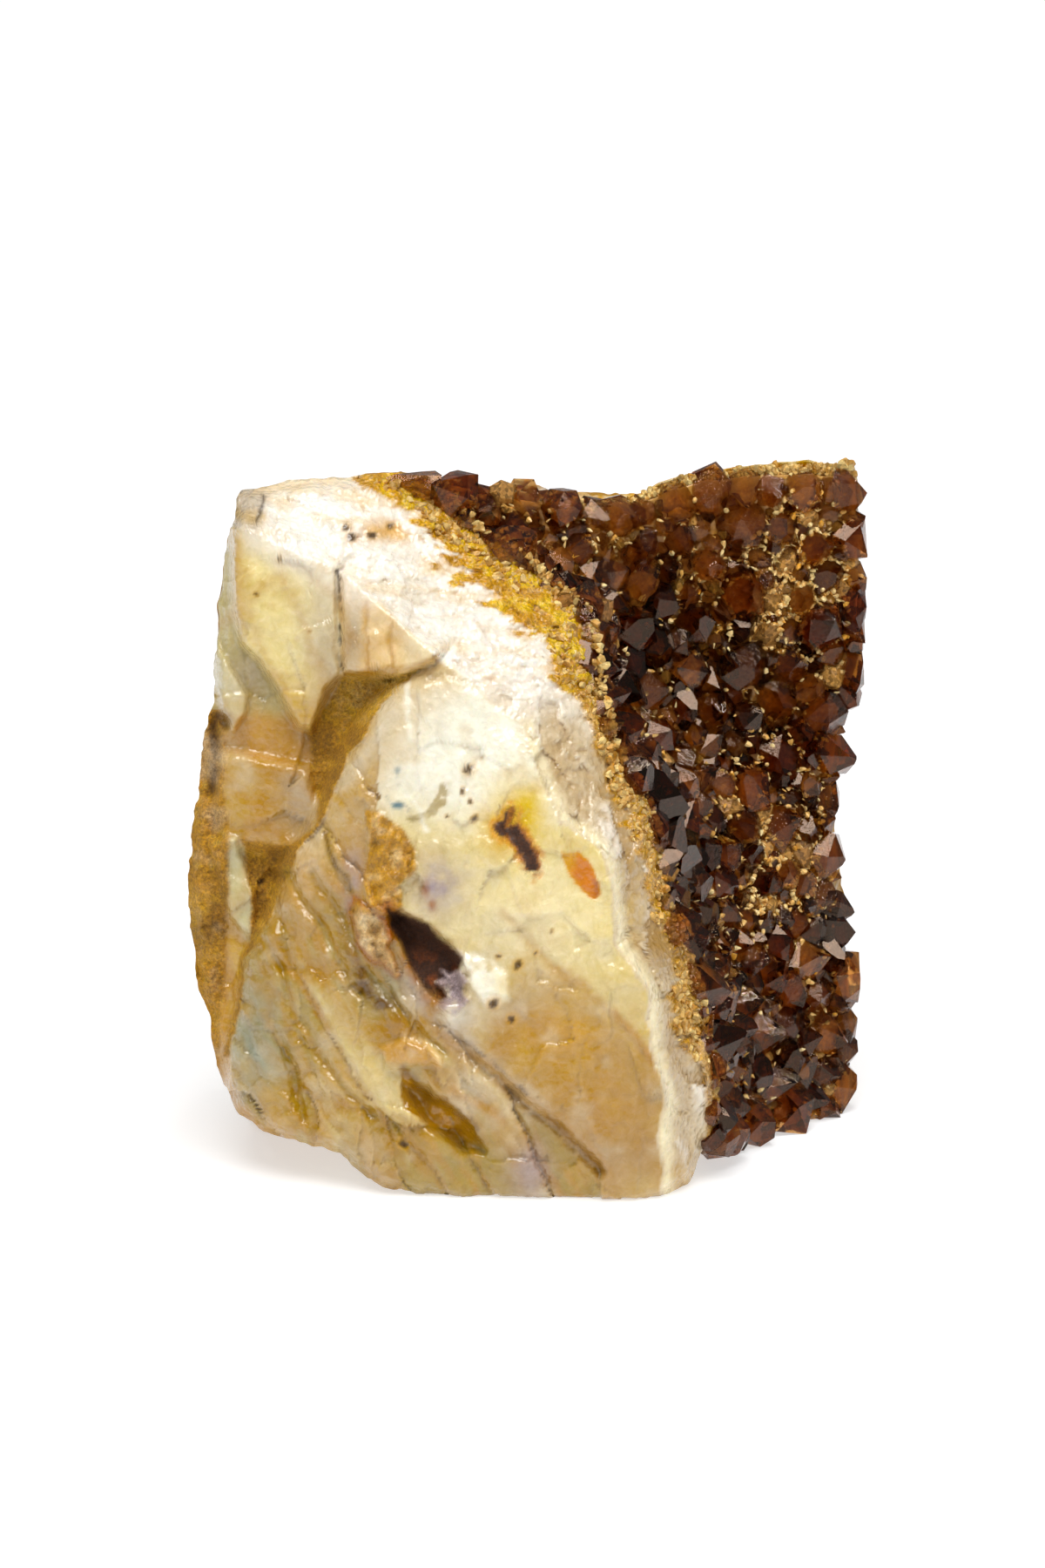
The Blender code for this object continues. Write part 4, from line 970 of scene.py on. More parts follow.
def paint(across, up, zone):
    """Colours of the front, from its zones and stains, with painted light and shade, and with ragged edges.
    """
    a, h = strayed(across, up, ((0.7, 4.0, 41, 45), (0.3, 1.0, 101, 104)))
    haze = np.clip(0.5 + 0.75 * fractal(across, up, 7.0, 121), 0, 1)
    fine = np.clip(0.5 + 0.75 * fractal(across, up, 1.3, 124), 0, 1)
    colour = np.tile(linear(PAINTS["stone"])[:3], (len(a), 1))
    colour = lay(colour, wall_layers(a, h, zone, haze, fine))
    colour = lay(colour, block_layers(a, h, zone, haze, fine))
    colour = lay(colour, facet_layers(a, h, zone, haze, fine))
    clouds = fractal(across, up, 3.2, 171)
    waxy = (1 - zone["facet"]) * (1 - zone["earth"])
    colour = lay(colour, [
        ("honey", 0.3 * waxy * smooth(1.6 * clouds - 0.1)),
        ("milk", 0.3 * waxy * smooth(-1.6 * clouds - 0.1)),
    ])
    return lay(colour, stain_layers(a, h, zone, fine))


def rind_paint(points):
    """Colours of the sides and back: brown rind, worn through to paler stone on the lumps."""
    x, y, z = points.T
    haze = 0.5 + 0.4 * fractal(x + y, z, 9.0, 131) + 0.3 * fractal(x - y, z + 0.7 * y, 3.0, 133)
    fine = 0.5 + 0.6 * fractal(x + 0.6 * y, z - 0.4 * y, 1.2, 136)
    colour = np.tile(linear(PAINTS["rind"])[:3], (len(points), 1))
    return lay(colour, [
        ("earth", smooth(1.9 * haze - 0.5)),
        ("soil_and_shade", 0.7 * smooth(1.2 - 2.4 * fine)),
        ("sage", 0.4 * smooth(1.1 - 2.6 * haze)),
        ("honey", 0.6 * smooth(2.4 * haze - 1.4)),
        ("beige", 0.45 * smooth(2.6 * fine - 1.6)),
    ])


# Meshes

def inside_cad_box(points_mm):
    """The points, with any that lie outside the solids' box drawn in to it."""
    low, high = (np.array(corner) / MM + BASE_MIDDLE for corner in cad_box)
    return np.clip(points_mm, low + (BOX_MARGIN, BOX_MARGIN, 0.0), high - BOX_MARGIN)


def mesh_piece(name, points_mm, faces, flat=False, **attributes):
    """A mesh object at the origin, from points in millimetres, with a number or a colour a point."""
    mesh = bpy.data.meshes.new(name)
    mesh.from_pydata(((inside_cad_box(points_mm) - BASE_MIDDLE) * MM).tolist(), [], faces)
    for key, values in attributes.items():
        if values.ndim == 2:
            layer = mesh.attributes.new(key, "FLOAT_COLOR", "POINT")
            values = np.hstack([values, np.ones((len(values), 1))])
            layer.data.foreach_set("color", values.astype(np.float32).ravel())
        else:
            layer = mesh.attributes.new(key, "FLOAT", "POINT")
            layer.data.foreach_set("value", values.astype(np.float32))
    if flat:
        mesh.shade_flat()
    else:
        mesh.shade_smooth()
    piece = bpy.data.objects.new(name, mesh)
    bpy.context.scene.collection.objects.link(piece)
    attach(piece, "root")
    return piece


def grid_faces(columns, rows, start=0, turned_over=False):
    """Quads of a grid of (columns + 1) by (rows + 1) points, a column at a time."""
    i, j = np.meshgrid(np.arange(columns), np.arange(rows), indexing="ij")
    corner = (start + i * (rows + 1) + j).ravel()
    quads = np.stack([corner, corner + rows + 1, corner + rows + 2, corner + 1], 1)
    return quads[:, ::-1] if turned_over else quads


def grid_border(columns, rows):
    """Indices of the border of such a grid: along the bottom, up the right, and back."""
    low = np.arange(columns) * (rows + 1)
    right = columns * (rows + 1) + np.arange(rows)
    high = np.arange(columns, 0, -1) * (rows + 1) + rows
    left = np.arange(rows, 0, -1)
    return np.concatenate([low, right, high, left])


def ring_faces(front, back):
    """Quads between two rings of as many points, facing out."""
    return np.stack([front, back, np.roll(back, -1), np.roll(front, -1)], 1)


def stone_columns(cells):
    """Places of the grid's columns from -1 to 1, closer together left of the rim."""
    fine = np.linspace(-1, 1, 400)
    density = 1.0 - 0.45 * smooth((fine - 0.25) / 0.3)
    total = np.concatenate([[0.0], np.cumsum(0.5 * (density[1:] + density[:-1]))])
    return np.interp(np.linspace(0, 1, cells + 1), total / total[-1], fine)


def stone_front(u, v):
    """The front sheet in space, and its front-view places: a square drawn out to the outline.

    Behind the hollow the stone's edge lies a little inside the outline, where crystals reach it.
    """
    ring = np.maximum(np.abs(u), np.abs(v))
    bearing = outline_bearing(u, v)
    ragged = fractal(bearing * 34, bearing * 0, 1.6, 81) * smooth((ring - 0.8) / 0.2)
    ragged = ragged + 1.2 * fractal(bearing * 34, 0 * bearing, 4.5, 84) * smooth(-2 * np.sin(bearing) - 0.6)
    reach = ring * (outline_reach(bearing) + EDGE_RAGGEDNESS * ragged)
    behind_crust = smooth((np.cos(bearing) - 0.45) / 0.35) * smooth((0.76 - np.sin(bearing)) / 0.1)
    reach = reach - CRYSTAL_OVERHANG * behind_crust * smooth((ring - 0.7) / 0.3)
    across = OUTLINE_MIDDLE[0] + reach * np.cos(bearing)
    up = OUTLINE_MIDDLE[1] + reach * np.sin(bearing)
    zone = zones(across, up)
    from_rim = beside(across, up, RIM)[0]
    edge = smooth((1 - ring) / 0.03)
    hollow = hollow_depth(across, up, 1.9 * edge * smooth(from_rim / 1.5))
    front = block_depth(across, up) + relief(across, up, zone)
    depth = np.where(from_rim > 0, hollow, front)
    depth = depth + EDGE_ROUNDING * smooth((ring - 0.965) / 0.035)
    return to_space(across, up, depth), across, up, zone


def straw_edge(across, up):
    """The pale golden broken edge along the top of the hollow's far side."""
    top = np.interp(across, *np.array(CRUST_TOP).T)
    return smooth((up - top + 0.6) / 0.8) * smooth((across - 2) / 10)


def make_stone():
    """One closed sheet: a fine front, a coarser back, and rings of points round the sides."""
    u, v = np.meshgrid(stone_columns(FRONT_CELLS), np.linspace(-1, 1, FRONT_CELLS + 1), indexing="ij")
    front, across, up, zone = stone_front(u.ravel(), v.ravel())
    border = grid_border(FRONT_CELLS, FRONT_CELLS)
    colour = paint(across, up, zone)
    top = straw_edge(across, up) * (beside(across, up, RIM)[0] > 0)
    fine = 0.5 + 0.6 * fractal(across, up, 1.0, 141)
    colour = lay(colour, [("peach", top), ("amber", top * smooth(2.4 * fine - 0.8))])

    edge_u, edge_v = u.ravel()[border], v.ravel()[border]
    behind = back_points(edge_u, edge_v)
    bearing = outline_bearing(edge_u, edge_v)
    outward = np.stack([np.cos(bearing), np.zeros_like(bearing), np.sin(bearing)], -1)
    points = [front]
    rings = [border]
    for k in range(1, SIDE_RINGS):
        share = k / SIDE_RINGS
        rough = lumps(30 * share + 0 * bearing, bearing * 30, 6.0, 31)
        finer = fractal(12 * share + 0 * bearing, bearing * 30, 1.8, 32)
        rough = SIDE_BULGE + SIDE_ROUGHNESS * rough + 0.5 * finer
        ring = front[border] * (1 - share) + behind * share
        points.append(ring + (rough * np.sin(np.pi * share))[:, None] * outward)
        rings.append(len(front) + (k - 1) * len(border) + np.arange(len(border)))
    back_u, back_v = np.meshgrid(
        stone_columns(FRONT_CELLS)[::3], np.linspace(-1, 1, BACK_CELLS + 1), indexing="ij"
    )
    start = sum(len(part) for part in points)
    points.append(back_points(back_u.ravel(), back_v.ravel()))
    back_border = start + grid_border(BACK_CELLS, BACK_CELLS)

    faces = grid_faces(FRONT_CELLS, FRONT_CELLS).tolist()
    faces += grid_faces(BACK_CELLS, BACK_CELLS, start, turned_over=True).tolist()
    for near_ring, far_ring in zip(rings[:-1], rings[1:]):
        faces += ring_faces(near_ring, far_ring).tolist()
    last = rings[-1].reshape(-1, 3)
    after = np.roll(last[:, 0], -1)
    faces += np.stack([
        back_border, np.roll(back_border, -1), after, last[:, 2], last[:, 1], last[:, 0],
    ], 1).tolist()

    points = np.concatenate(points)
    points[:, 2] = np.maximum(points[:, 2], 0.0)
    behind_front = points[len(front):]
    behind_colour = rind_paint(behind_front)
    # The broken top and left sides keep the front edge's colour for a few millimetres
    for k in range(SIDE_RINGS - 1):
        ring = slice(k * len(border), (k + 1) * len(border))
        ragged = 0.3 * fractal(bearing * 30, 5.0 * k + 0 * bearing, 3.0, 151)
        kept = smooth(1.05 - (k + 1) / 3.2 + ragged)[:, None]
        behind_colour[ring] = behind_colour[ring] * (1 - kept) + colour[border] * kept
    stained = np.maximum(near(across, up, STAIN_HEAD, 1.5), near(across, up, STAIN_BODY, 2.0))
    dull = np.clip(zone["earth"] + zone["rind"] + 0.6 * zone["crusts"] + zone["hollow"] + stained, 0, 1)
    grit = np.clip(dull + zone["gold"] + top, 0, 1)
    granular = np.clip(0.32 + 0.2 * zone["facet"] + zone["gold"], 0, 1)
    return mesh_piece(
        "chalcedony_stone", points, faces, paint=np.concatenate([colour, behind_colour]),
        gloss=np.concatenate([1 - dull, np.zeros(len(behind_front))]),
        grit=np.concatenate([grit, np.ones(len(behind_front))]),
        granular=np.concatenate([granular, np.zeros(len(behind_front))]),
    )


# Crystals

# Radii of the crystals, largest first, with how many times eight tries each is given
CRYSTAL_SIZES = ((2.5, 14), (2.1, 60), (1.7, 160), (1.35, 520), (1.05, 1000), (0.8, 1200))
TRIES = 8
# How near two crystals may stand, how wide they are and how high, in their seats' radii
CRYSTAL_CROWDING = 0.66
CRYSTAL_SPREAD = 1.22
CRYSTAL_HEIGHTS = (0.75, 1.7)
# How deep they are rooted, in millimetres, and how far their directions stray
CRYSTAL_ROOT = 1.4
CRYSTAL_DISORDER = 0.34
CRYSTAL_SEED = 11
# Crystals right on an edge: the share of draws it ends at, which coordinate it sets, and to what
EDGE_SEATS = ((0.10, 0, 1.0), (0.17, 1, 1.0), (0.21, 1, 0.0))
EDGE_TURN = 0.8
UPPER_CRYSTALS_END = 0.4
PALE_EDGE = 0.022

# Crevices, where two crystals are about as near as each other, and the flakes in them
WEB_WIDTH = 0.17
CREVICE_WIDTH = 0.16
CREVICE_REACH = 1.3
FLAKES = 2600
FLAKE_ROOT = 0.3

# Golden quartz on the rim, along the top edge and in a knob at its right end
RIM_QUARTZ = 2200
RIM_QUARTZ_SEED = 17
RIM_QUARTZ_ROOT = 0.6
TOP_EDGE_CORNERS = slice(6, 14)
TOP_EDGE_QUARTZ = 420
TOP_EDGE_AXIS = (0.0, -0.6, 0.8)
KNOB = (37.0, 85.0)
KNOB_QUARTZ = 18
KNOB_GROWTH = 1.9

# Points of one crystal's mesh
TEMPLATE_POINTS = 16


def crystal_template(count, blunt, shoulder, taper):
    """Quartz points, 1 high and about 1 in radius: six prism sides, three large and three small faces.

    A large face at 30, 150 and 270 degrees is the plane z = 1 - m x, where x is the distance
    out and m gives the shoulder's height at the prism's side. Two of them meet on a line that
    runs down from the tip to the small face between them, which starts blunt away from the axis.
    """
    corner = np.radians(60.0 * np.arange(6))
    between = np.radians((90.0, 210.0, 330.0))
    slope = (1 - shoulder) / np.cos(np.radians(30))
    points = np.zeros((count, TEMPLATE_POINTS, 3))
    points[:, 0:6, 0] = np.cos(corner) * taper[:, None]
    points[:, 0:6, 1] = np.sin(corner) * taper[:, None]
    points[:, 6:12, 0] = np.cos(corner)
    points[:, 6:12, 1] = np.sin(corner)
    points[:, 6:12, 2] = shoulder[:, None]
    points[:, 12:15, 0] = np.cos(between) * blunt[:, None]
    points[:, 12:15, 1] = np.sin(between) * blunt[:, None]
    points[:, 12:15, 2] = (1 - 0.5 * slope * blunt)[:, None]
    points[:, 15, 2] = 1.0
    return points


CRYSTAL_FACES = (
    [[k, (k + 1) % 6, 6 + (k + 1) % 6, 6 + k] for k in range(6)]
    + [[15, 14, 6, 7, 12], [15, 12, 8, 9, 13], [15, 13, 10, 11, 14]]
    + [[12, 7, 8], [13, 9, 10], [14, 11, 6]]
    + [[5, 4, 3, 2, 1, 0]]
)


def make_crystals(name, feet, axes, radii, heights, root, draw):
    """Crystals as one mesh: each is the template, stretched, turned about its axis and set on its foot."""
    count = len(feet)
    points = crystal_template(
        count, draw.uniform(0.05, 0.6, count), draw.uniform(0.25, 0.6, count),
        draw.uniform(0.95, 1.15, count),
    )
    stretch = draw.uniform(0.8, 1.25, count)
    lean = draw.uniform(-0.25, 0.25, (count, 2))
    points[:, :, 0] = points[:, :, 0] * stretch[:, None] + lean[:, :1] * points[:, :, 2]
    points[:, :, 1] = points[:, :, 1] / stretch[:, None] + lean[:, 1:] * points[:, :, 2]
    points[:, :, :2] *= radii[:, None, None]
    points[:, :, 2] *= (heights + root)[:, None]
    spin = draw.uniform(0, 2 * np.pi, count)
    helper = np.where(np.abs(axes[:, 2:]) < 0.9, [[0.0, 0.0, 1.0]], [[1.0, 0.0, 0.0]])
    side = unit(np.cross(helper, axes))
    other = np.cross(axes, side)
    first = side * np.cos(spin)[:, None] + other * np.sin(spin)[:, None]
    second = np.cross(axes, first)
    base = feet - axes * root
    points = (
        base[:, None] + points[:, :, :1] * first[:, None] + points[:, :, 1:2] * second[:, None]
        + points[:, :, 2:] * axes[:, None]
    )
    starts = TEMPLATE_POINTS * np.arange(count)
    faces = [[start + corner for corner in face] for start in starts for face in CRYSTAL_FACES]
    tone = np.repeat(draw.uniform(0, 1, count), TEMPLATE_POINTS)
    return mesh_piece(name, points.reshape(-1, 3), faces, flat=True, tone=tone)


def golden_share(points):
    """Where the druse is golden between its crystals, with its webs painted bright for light that glows
    between them: upper right and in patches.
    """
    x, z = points[..., 0], points[..., 2]
    share = cloud(x, z, (32, 66), (8, 12)) + 0.8 * cloud(x, z, (31, 30), (6, 6))
    return np.clip(share + 0.7 * fractal(x, z, 9.0, 91) - 0.05, 0, 1)


def crystal_seats():
    """Shares, feet and sizes of the crystals on the crust, and the draw they came from.

    The largest are placed first, and each keeps clear of the rest. Some lie right on the edges.
    """
    draw = np.random.default_rng(CRYSTAL_SEED)
    shares = np.zeros((0, 2))
    feet = np.zeros((0, 3))
    radii = np.zeros(0)
    for radius, tries in CRYSTAL_SIZES:
        count = TRIES * tries
        pair = draw.uniform(0.0, 1.0, (count, 2))
        pair[:, 0] **= CRUST_CROWDING
        kind = draw.uniform(0.0, 1.0, count)
        start = 0.0
        for share, column, value in EDGE_SEATS:
            pair[(kind >= start) & (kind < share), column] = value
            start = share
        pair[:, 1] = np.minimum(pair[:, 1], 1 - PALE_EDGE * smooth((pair[:, 0] - 0.3) / 0.15))
        places = crust_points(pair[:, 0], pair[:, 1], 0.0)
        sizes = radius * draw.uniform(0.85, 1.15, count)
        for k in range(count):
            gap = np.linalg.norm(feet - places[k], axis=1)
            if (gap > CRYSTAL_CROWDING * (radii + sizes[k])).all():
                feet = np.vstack([feet, places[k]])
                radii = np.append(radii, sizes[k])
                shares = np.vstack([shares, pair[k]])
    return shares, feet, radii, draw


def grow_crystals(shares, feet, radii, draw):
    """The crystals, a piece for each kind: they stand out of the crust and lean over its edges."""
    s, t = shares.T
    run, rise = (unit(step) for step in crust_steps(s, t))
    upper_edge = smooth((t - 0.97) / 0.03) * smooth((UPPER_CRYSTALS_END - s) / 0.1)
    outward = smooth((s - 0.95) / 0.05)[:, None] * run + upper_edge[:, None] * rise
    outward = outward - smooth((0.02 - t) / 0.02)[:, None] * rise
    axes = unit(crust_out(s, t) + EDGE_TURN * outward + draw.normal(0, CRYSTAL_DISORDER, feet.shape))
    heights = radii * draw.uniform(*CRYSTAL_HEIGHTS, len(radii))
    frosted = (radii < 1.9) & (draw.uniform(0, 1, len(radii)) < 0.1 + 0.15 * golden_share(feet))
    small = (radii < 1.2) & (draw.uniform(0, 1, len(radii)) < 0.2 + 0.3 * golden_share(feet))
    # Painted light: near the top more crystals are of the paler amber kind and fewer smoky, standing in for
    # light through thin crystals from behind
    near_top = smooth((t - 0.72) / 0.25) * smooth(1.3 - 0.6 * s)
    luck = draw.uniform(0, 1, len(radii))
    amber = luck < 0.38 + 0.55 * near_top
    smoky = luck > 0.8 + 0.2 * near_top
    clear = ~frosted & ~small
    # Each kind's name, which crystals are of it, and how much of their height it keeps
    kinds = (
        ("citrine_crystals", clear & ~amber & ~smoky, 1.0), ("amber_crystals", clear & amber, 1.0),
        ("smoky_crystals", clear & smoky, 1.0),
        ("frosted_crystals", frosted & ~small, 0.85), ("golden_crystals", small, 0.9),
    )
    return [
        make_crystals(
            name, feet[which], axes[which], CRYSTAL_SPREAD * radii[which],
            height * heights[which], CRYSTAL_ROOT, draw,
        ) for name, which, height in kinds
    ]


def crystal_gaps(face, feet, radii):
    """Distance to the nearest crystal in its radii, and how much farther the next one is."""
    nearest = np.full(len(face), 99.0)
    second = np.full(len(face), 99.0)
    for foot, radius in zip(feet, radii):
        gap = np.linalg.norm(face - foot, axis=1) / radius
        second = np.minimum(second, np.maximum(gap, nearest))
        nearest = np.minimum(nearest, gap)
    return nearest, second - nearest


def make_crust(s, t, face, farther, golden, edge):
    """The crust as a closed sheet, which rises in golden webs between the crystals; their bright gold is
    painted glow.
    """
    columns, rows = CRUST_CELLS
    web = smooth(1 - farther / WEB_WIDTH) * smooth(0.5 + 1.8 * fractal(face[:, 0], face[:, 2], 2.0, 96))
    rise = (0.2 + 1.3 * golden) * web * edge + 0.3 * lumps(face[:, 0], face[:, 2], 0.8, 95) * edge
    sheet = face + rise[:, None] * crust_out(s, t)
    sheet[:, 2] = np.maximum(sheet[:, 2], CRUST_FLOOR_CLEARANCE)
    deep = crust_points(s, t, CRUST_THICKNESS)
    border = grid_border(columns, rows)
    faces = grid_faces(columns, rows).tolist()
    faces += grid_faces(columns, rows, len(sheet), turned_over=True).tolist()
    faces += ring_faces(border, len(sheet) + border).tolist()
    return mesh_piece(
        "citrine_crust", np.concatenate([sheet, deep]), faces,
        web=np.concatenate([web * golden, 0 * web]), edge=np.concatenate([1 - edge, 1 + 0 * edge]),
    )


def make_flakes(s, t, face, crevices, golden, draw):
    """Small golden flakes in the crevices, most of them where the druse is golden; their bright gold also
    stands in for light glowing in the crevices.
    """
    chance = 0.06 + golden[crevices] ** 2
    chosen = draw.choice(crevices, FLAKES, p=chance / chance.sum())
    out = crust_out(s[chosen], t[chosen])
    radii = 0.07 + 0.3 * draw.uniform(0, 1, FLAKES) ** 2
    axes = unit(out + draw.normal(0, 0.6, (FLAKES, 3)))
    lift = draw.uniform(0.3, 1.3, (FLAKES, 1))
    heights = draw.uniform(0.2, 0.6, FLAKES)
    return make_crystals("golden_flakes", face[chosen] + lift * out, axes, radii, heights, FLAKE_ROOT, draw)


def make_druse():
    """The crust, its crystals and the flakes between them."""
    shares, feet, radii, draw = crystal_seats()
    crystals = grow_crystals(shares, feet, radii, draw)
    columns, rows = CRUST_CELLS
    s, t = np.meshgrid(
        np.linspace(0, 1, columns + 1) ** CRUST_CROWDING, np.linspace(0, 1, rows + 1), indexing="ij"
    )
    s, t = s.ravel(), t.ravel()
    face = crust_points(s, t, 0.0)
    nearest, farther = crystal_gaps(face, feet, radii)
    golden = golden_share(face)
    edge = smooth(s / 0.04) * smooth((1 - s) / 0.03) * smooth(t / 0.02) * smooth((1 - t) / 0.02)
    crust = make_crust(s, t, face, farther, golden, edge)
    crevices = np.flatnonzero((farther < CREVICE_WIDTH) & (edge > 0.9) & (nearest < CREVICE_REACH))
    return crust, crystals, make_flakes(s, t, face, crevices, golden, draw)


def top_edge_seats(draw):
    """Feet, directions and sizes of golden quartz on the top edge behind the hollow, with a knob."""
    edge = np.array(OUTLINE[TOP_EDGE_CORNERS])
    across = np.concatenate([
        draw.uniform(5.0, 38.0, TOP_EDGE_QUARTZ), draw.normal(KNOB[0], 0.5, KNOB_QUARTZ),
    ])
    up = np.interp(across, edge[:, 0], edge[:, 1]) - draw.uniform(0.1, 1.2, len(across))
    up[TOP_EDGE_QUARTZ:] = draw.normal(KNOB[1], 0.3, KNOB_QUARTZ)
    foot = to_space(across, up, hollow_depth(across, up, 0.0) + 0.4)
    radii = draw.uniform(0.15, 0.42, len(across))
    radii[TOP_EDGE_QUARTZ:] *= KNOB_GROWTH
    return foot, np.tile(TOP_EDGE_AXIS, (len(foot), 1)), radii


def make_rim_quartz():
    """Small golden quartz between the rim and the granular band, and on the top edge of the wing."""
    draw = np.random.default_rng(RIM_QUARTZ_SEED)
    count = RIM_QUARTZ
    stations = draw.uniform(0.02, 0.985, count)
    place = edge_line(RIM[1:], stations)
    width = np.interp(place[:, 1], GOLD_HEIGHTS, GOLD_WIDTHS)
    high = smooth((place[:, 1] - 50) / 8)
    inward = draw.uniform(0, 1, count) ** 1.6
    across = place[:, 0] - width * inward + high * draw.uniform(0, 1.3, count) * (inward < 0.2)
    up = place[:, 1] + draw.uniform(-0.8, 0.8, count)
    beyond = across - np.interp(up, [p[1] for p in RIM], [p[0] for p in RIM])
    keep = (beyond < 0.2 + 1.2 * high) & (up < 83.2)
    across, up = across[keep], up[keep]
    zone = zones(across, up)
    keep = zone["gold"] > draw.uniform(0.3, 1.0, len(across))
    across, up = across[keep], up[keep]
    step = 0.4
    depth = block_depth(across, up)
    foot = to_space(across, up, depth)
    run = to_space(across + step, up, block_depth(across + step, up)) - foot
    rise = to_space(across, up + step, block_depth(across, up + step)) - foot
    out = unit(np.cross(run, rise))
    top_foot, top_out, top_radii = top_edge_seats(draw)
    foot = np.vstack([foot, top_foot])
    axes = np.vstack([out, top_out])
    axes = unit(axes + draw.normal(0, 0.55, axes.shape))
    radii = np.concatenate([0.18 + 0.4 * draw.uniform(0, 1, len(out)) ** 2.5, top_radii])
    return make_crystals(
        "rim_quartz", foot, axes, radii, radii * draw.uniform(0.5, 1.3, len(foot)), RIM_QUARTZ_ROOT, draw
    )


# Materials

CHALCEDONY_IOR = 1.54
QUARTZ_IOR = 1.544
# The stone's mottling, its sugar-like grain, and the grit of its gold, earth and rind: for each a
# size in millimetres, detail, roughness and distortion
STONE_NOISES = ((1.5, 6.0, 0.65, 0.6), (0.3, 3.0, 0.5, 0.0), (0.35, 2.0, 0.7, 0.0))
# Sizes in millimetres of broken quartz grains, the druse's fine grains, etching and frosted patches
QUARTZ_GRAIN = 0.8
DRUSE_GRAIN = 0.5
ETCHING = 0.4
FROSTING = 1.2
# A film of iron oxide warms what the crystal faces reflect
REFLECTION_TINT = "#FFDCC0"
# The quartz in the order its pieces are made: name of its material, how clear it is, absorption a
# metre and the colour that is left, two tints of its skin, roughness, bump and painted sparkle
FINISHES = (
    ("clear_brown_citrine", 1.0, 620.0, "#E6C00C", ("#FFE4A4", "#5E381A"), 0.03, 0.15, 0.0),
    ("clear_amber_citrine", 1.0, 260.0, "#EEC41C", ("#FFE8B8", "#B87C38"), 0.04, 0.2, 0.1),
    ("smoky_brown_citrine", 1.0, 620.0, "#D89C2C", ("#E0A878", "#5C301A"), 0.03, 0.15, 0.0),
    ("frosted_citrine", 0.35, 300.0, "#E8BC30", ("#DCA654", "#94642C"), 0.2, 1.0, 0.7),
    ("golden_citrine_grains", 0.6, 300.0, "#E8BC30", ("#8A5614", "#E4A848"), 0.12, 0.6, 0.4),
    ("bright_golden_flakes", 0.1, 100.0, "#F0D060", ("#DC9C34", "#FFE6A4"), 0.1, 0.5, 0.3),
    ("iron_stained_quartz", 0.3, 200.0, "#E8B820", ("#CE922E", "#FFE294"), 0.15, 0.8, 0.4),
)


def linear(code):
    """A linear colour from an sRGB hex value."""
    channels = [int(code[i:i + 2], 16) / 255 for i in (1, 3, 5)]
    return [c / 12.92 if c <= 0.04045 else ((c + 0.055) / 1.055) ** 2.4 for c in channels] + [1.0]


def add_node(tree, kind, settings=(), inputs=()):
    """A node with its settings, and its inputs as values or as sockets to link from."""
    node = tree.nodes.new(kind)
    for name, value in dict(settings).items():
        setattr(node, name, value)
    for name, value in dict(inputs).items():
        if isinstance(value, bpy.types.NodeSocket):
            tree.links.new(value, node.inputs[name])
        else:
            node.inputs[name].default_value = value
    return node


def new_material(name, piece):
    """An empty material's nodes, in a new slot of the piece."""
    material = bpy.data.materials.new(name)
    material.use_nodes = True
    material.node_tree.nodes.clear()
    piece.data.materials.append(material)
    return material.node_tree


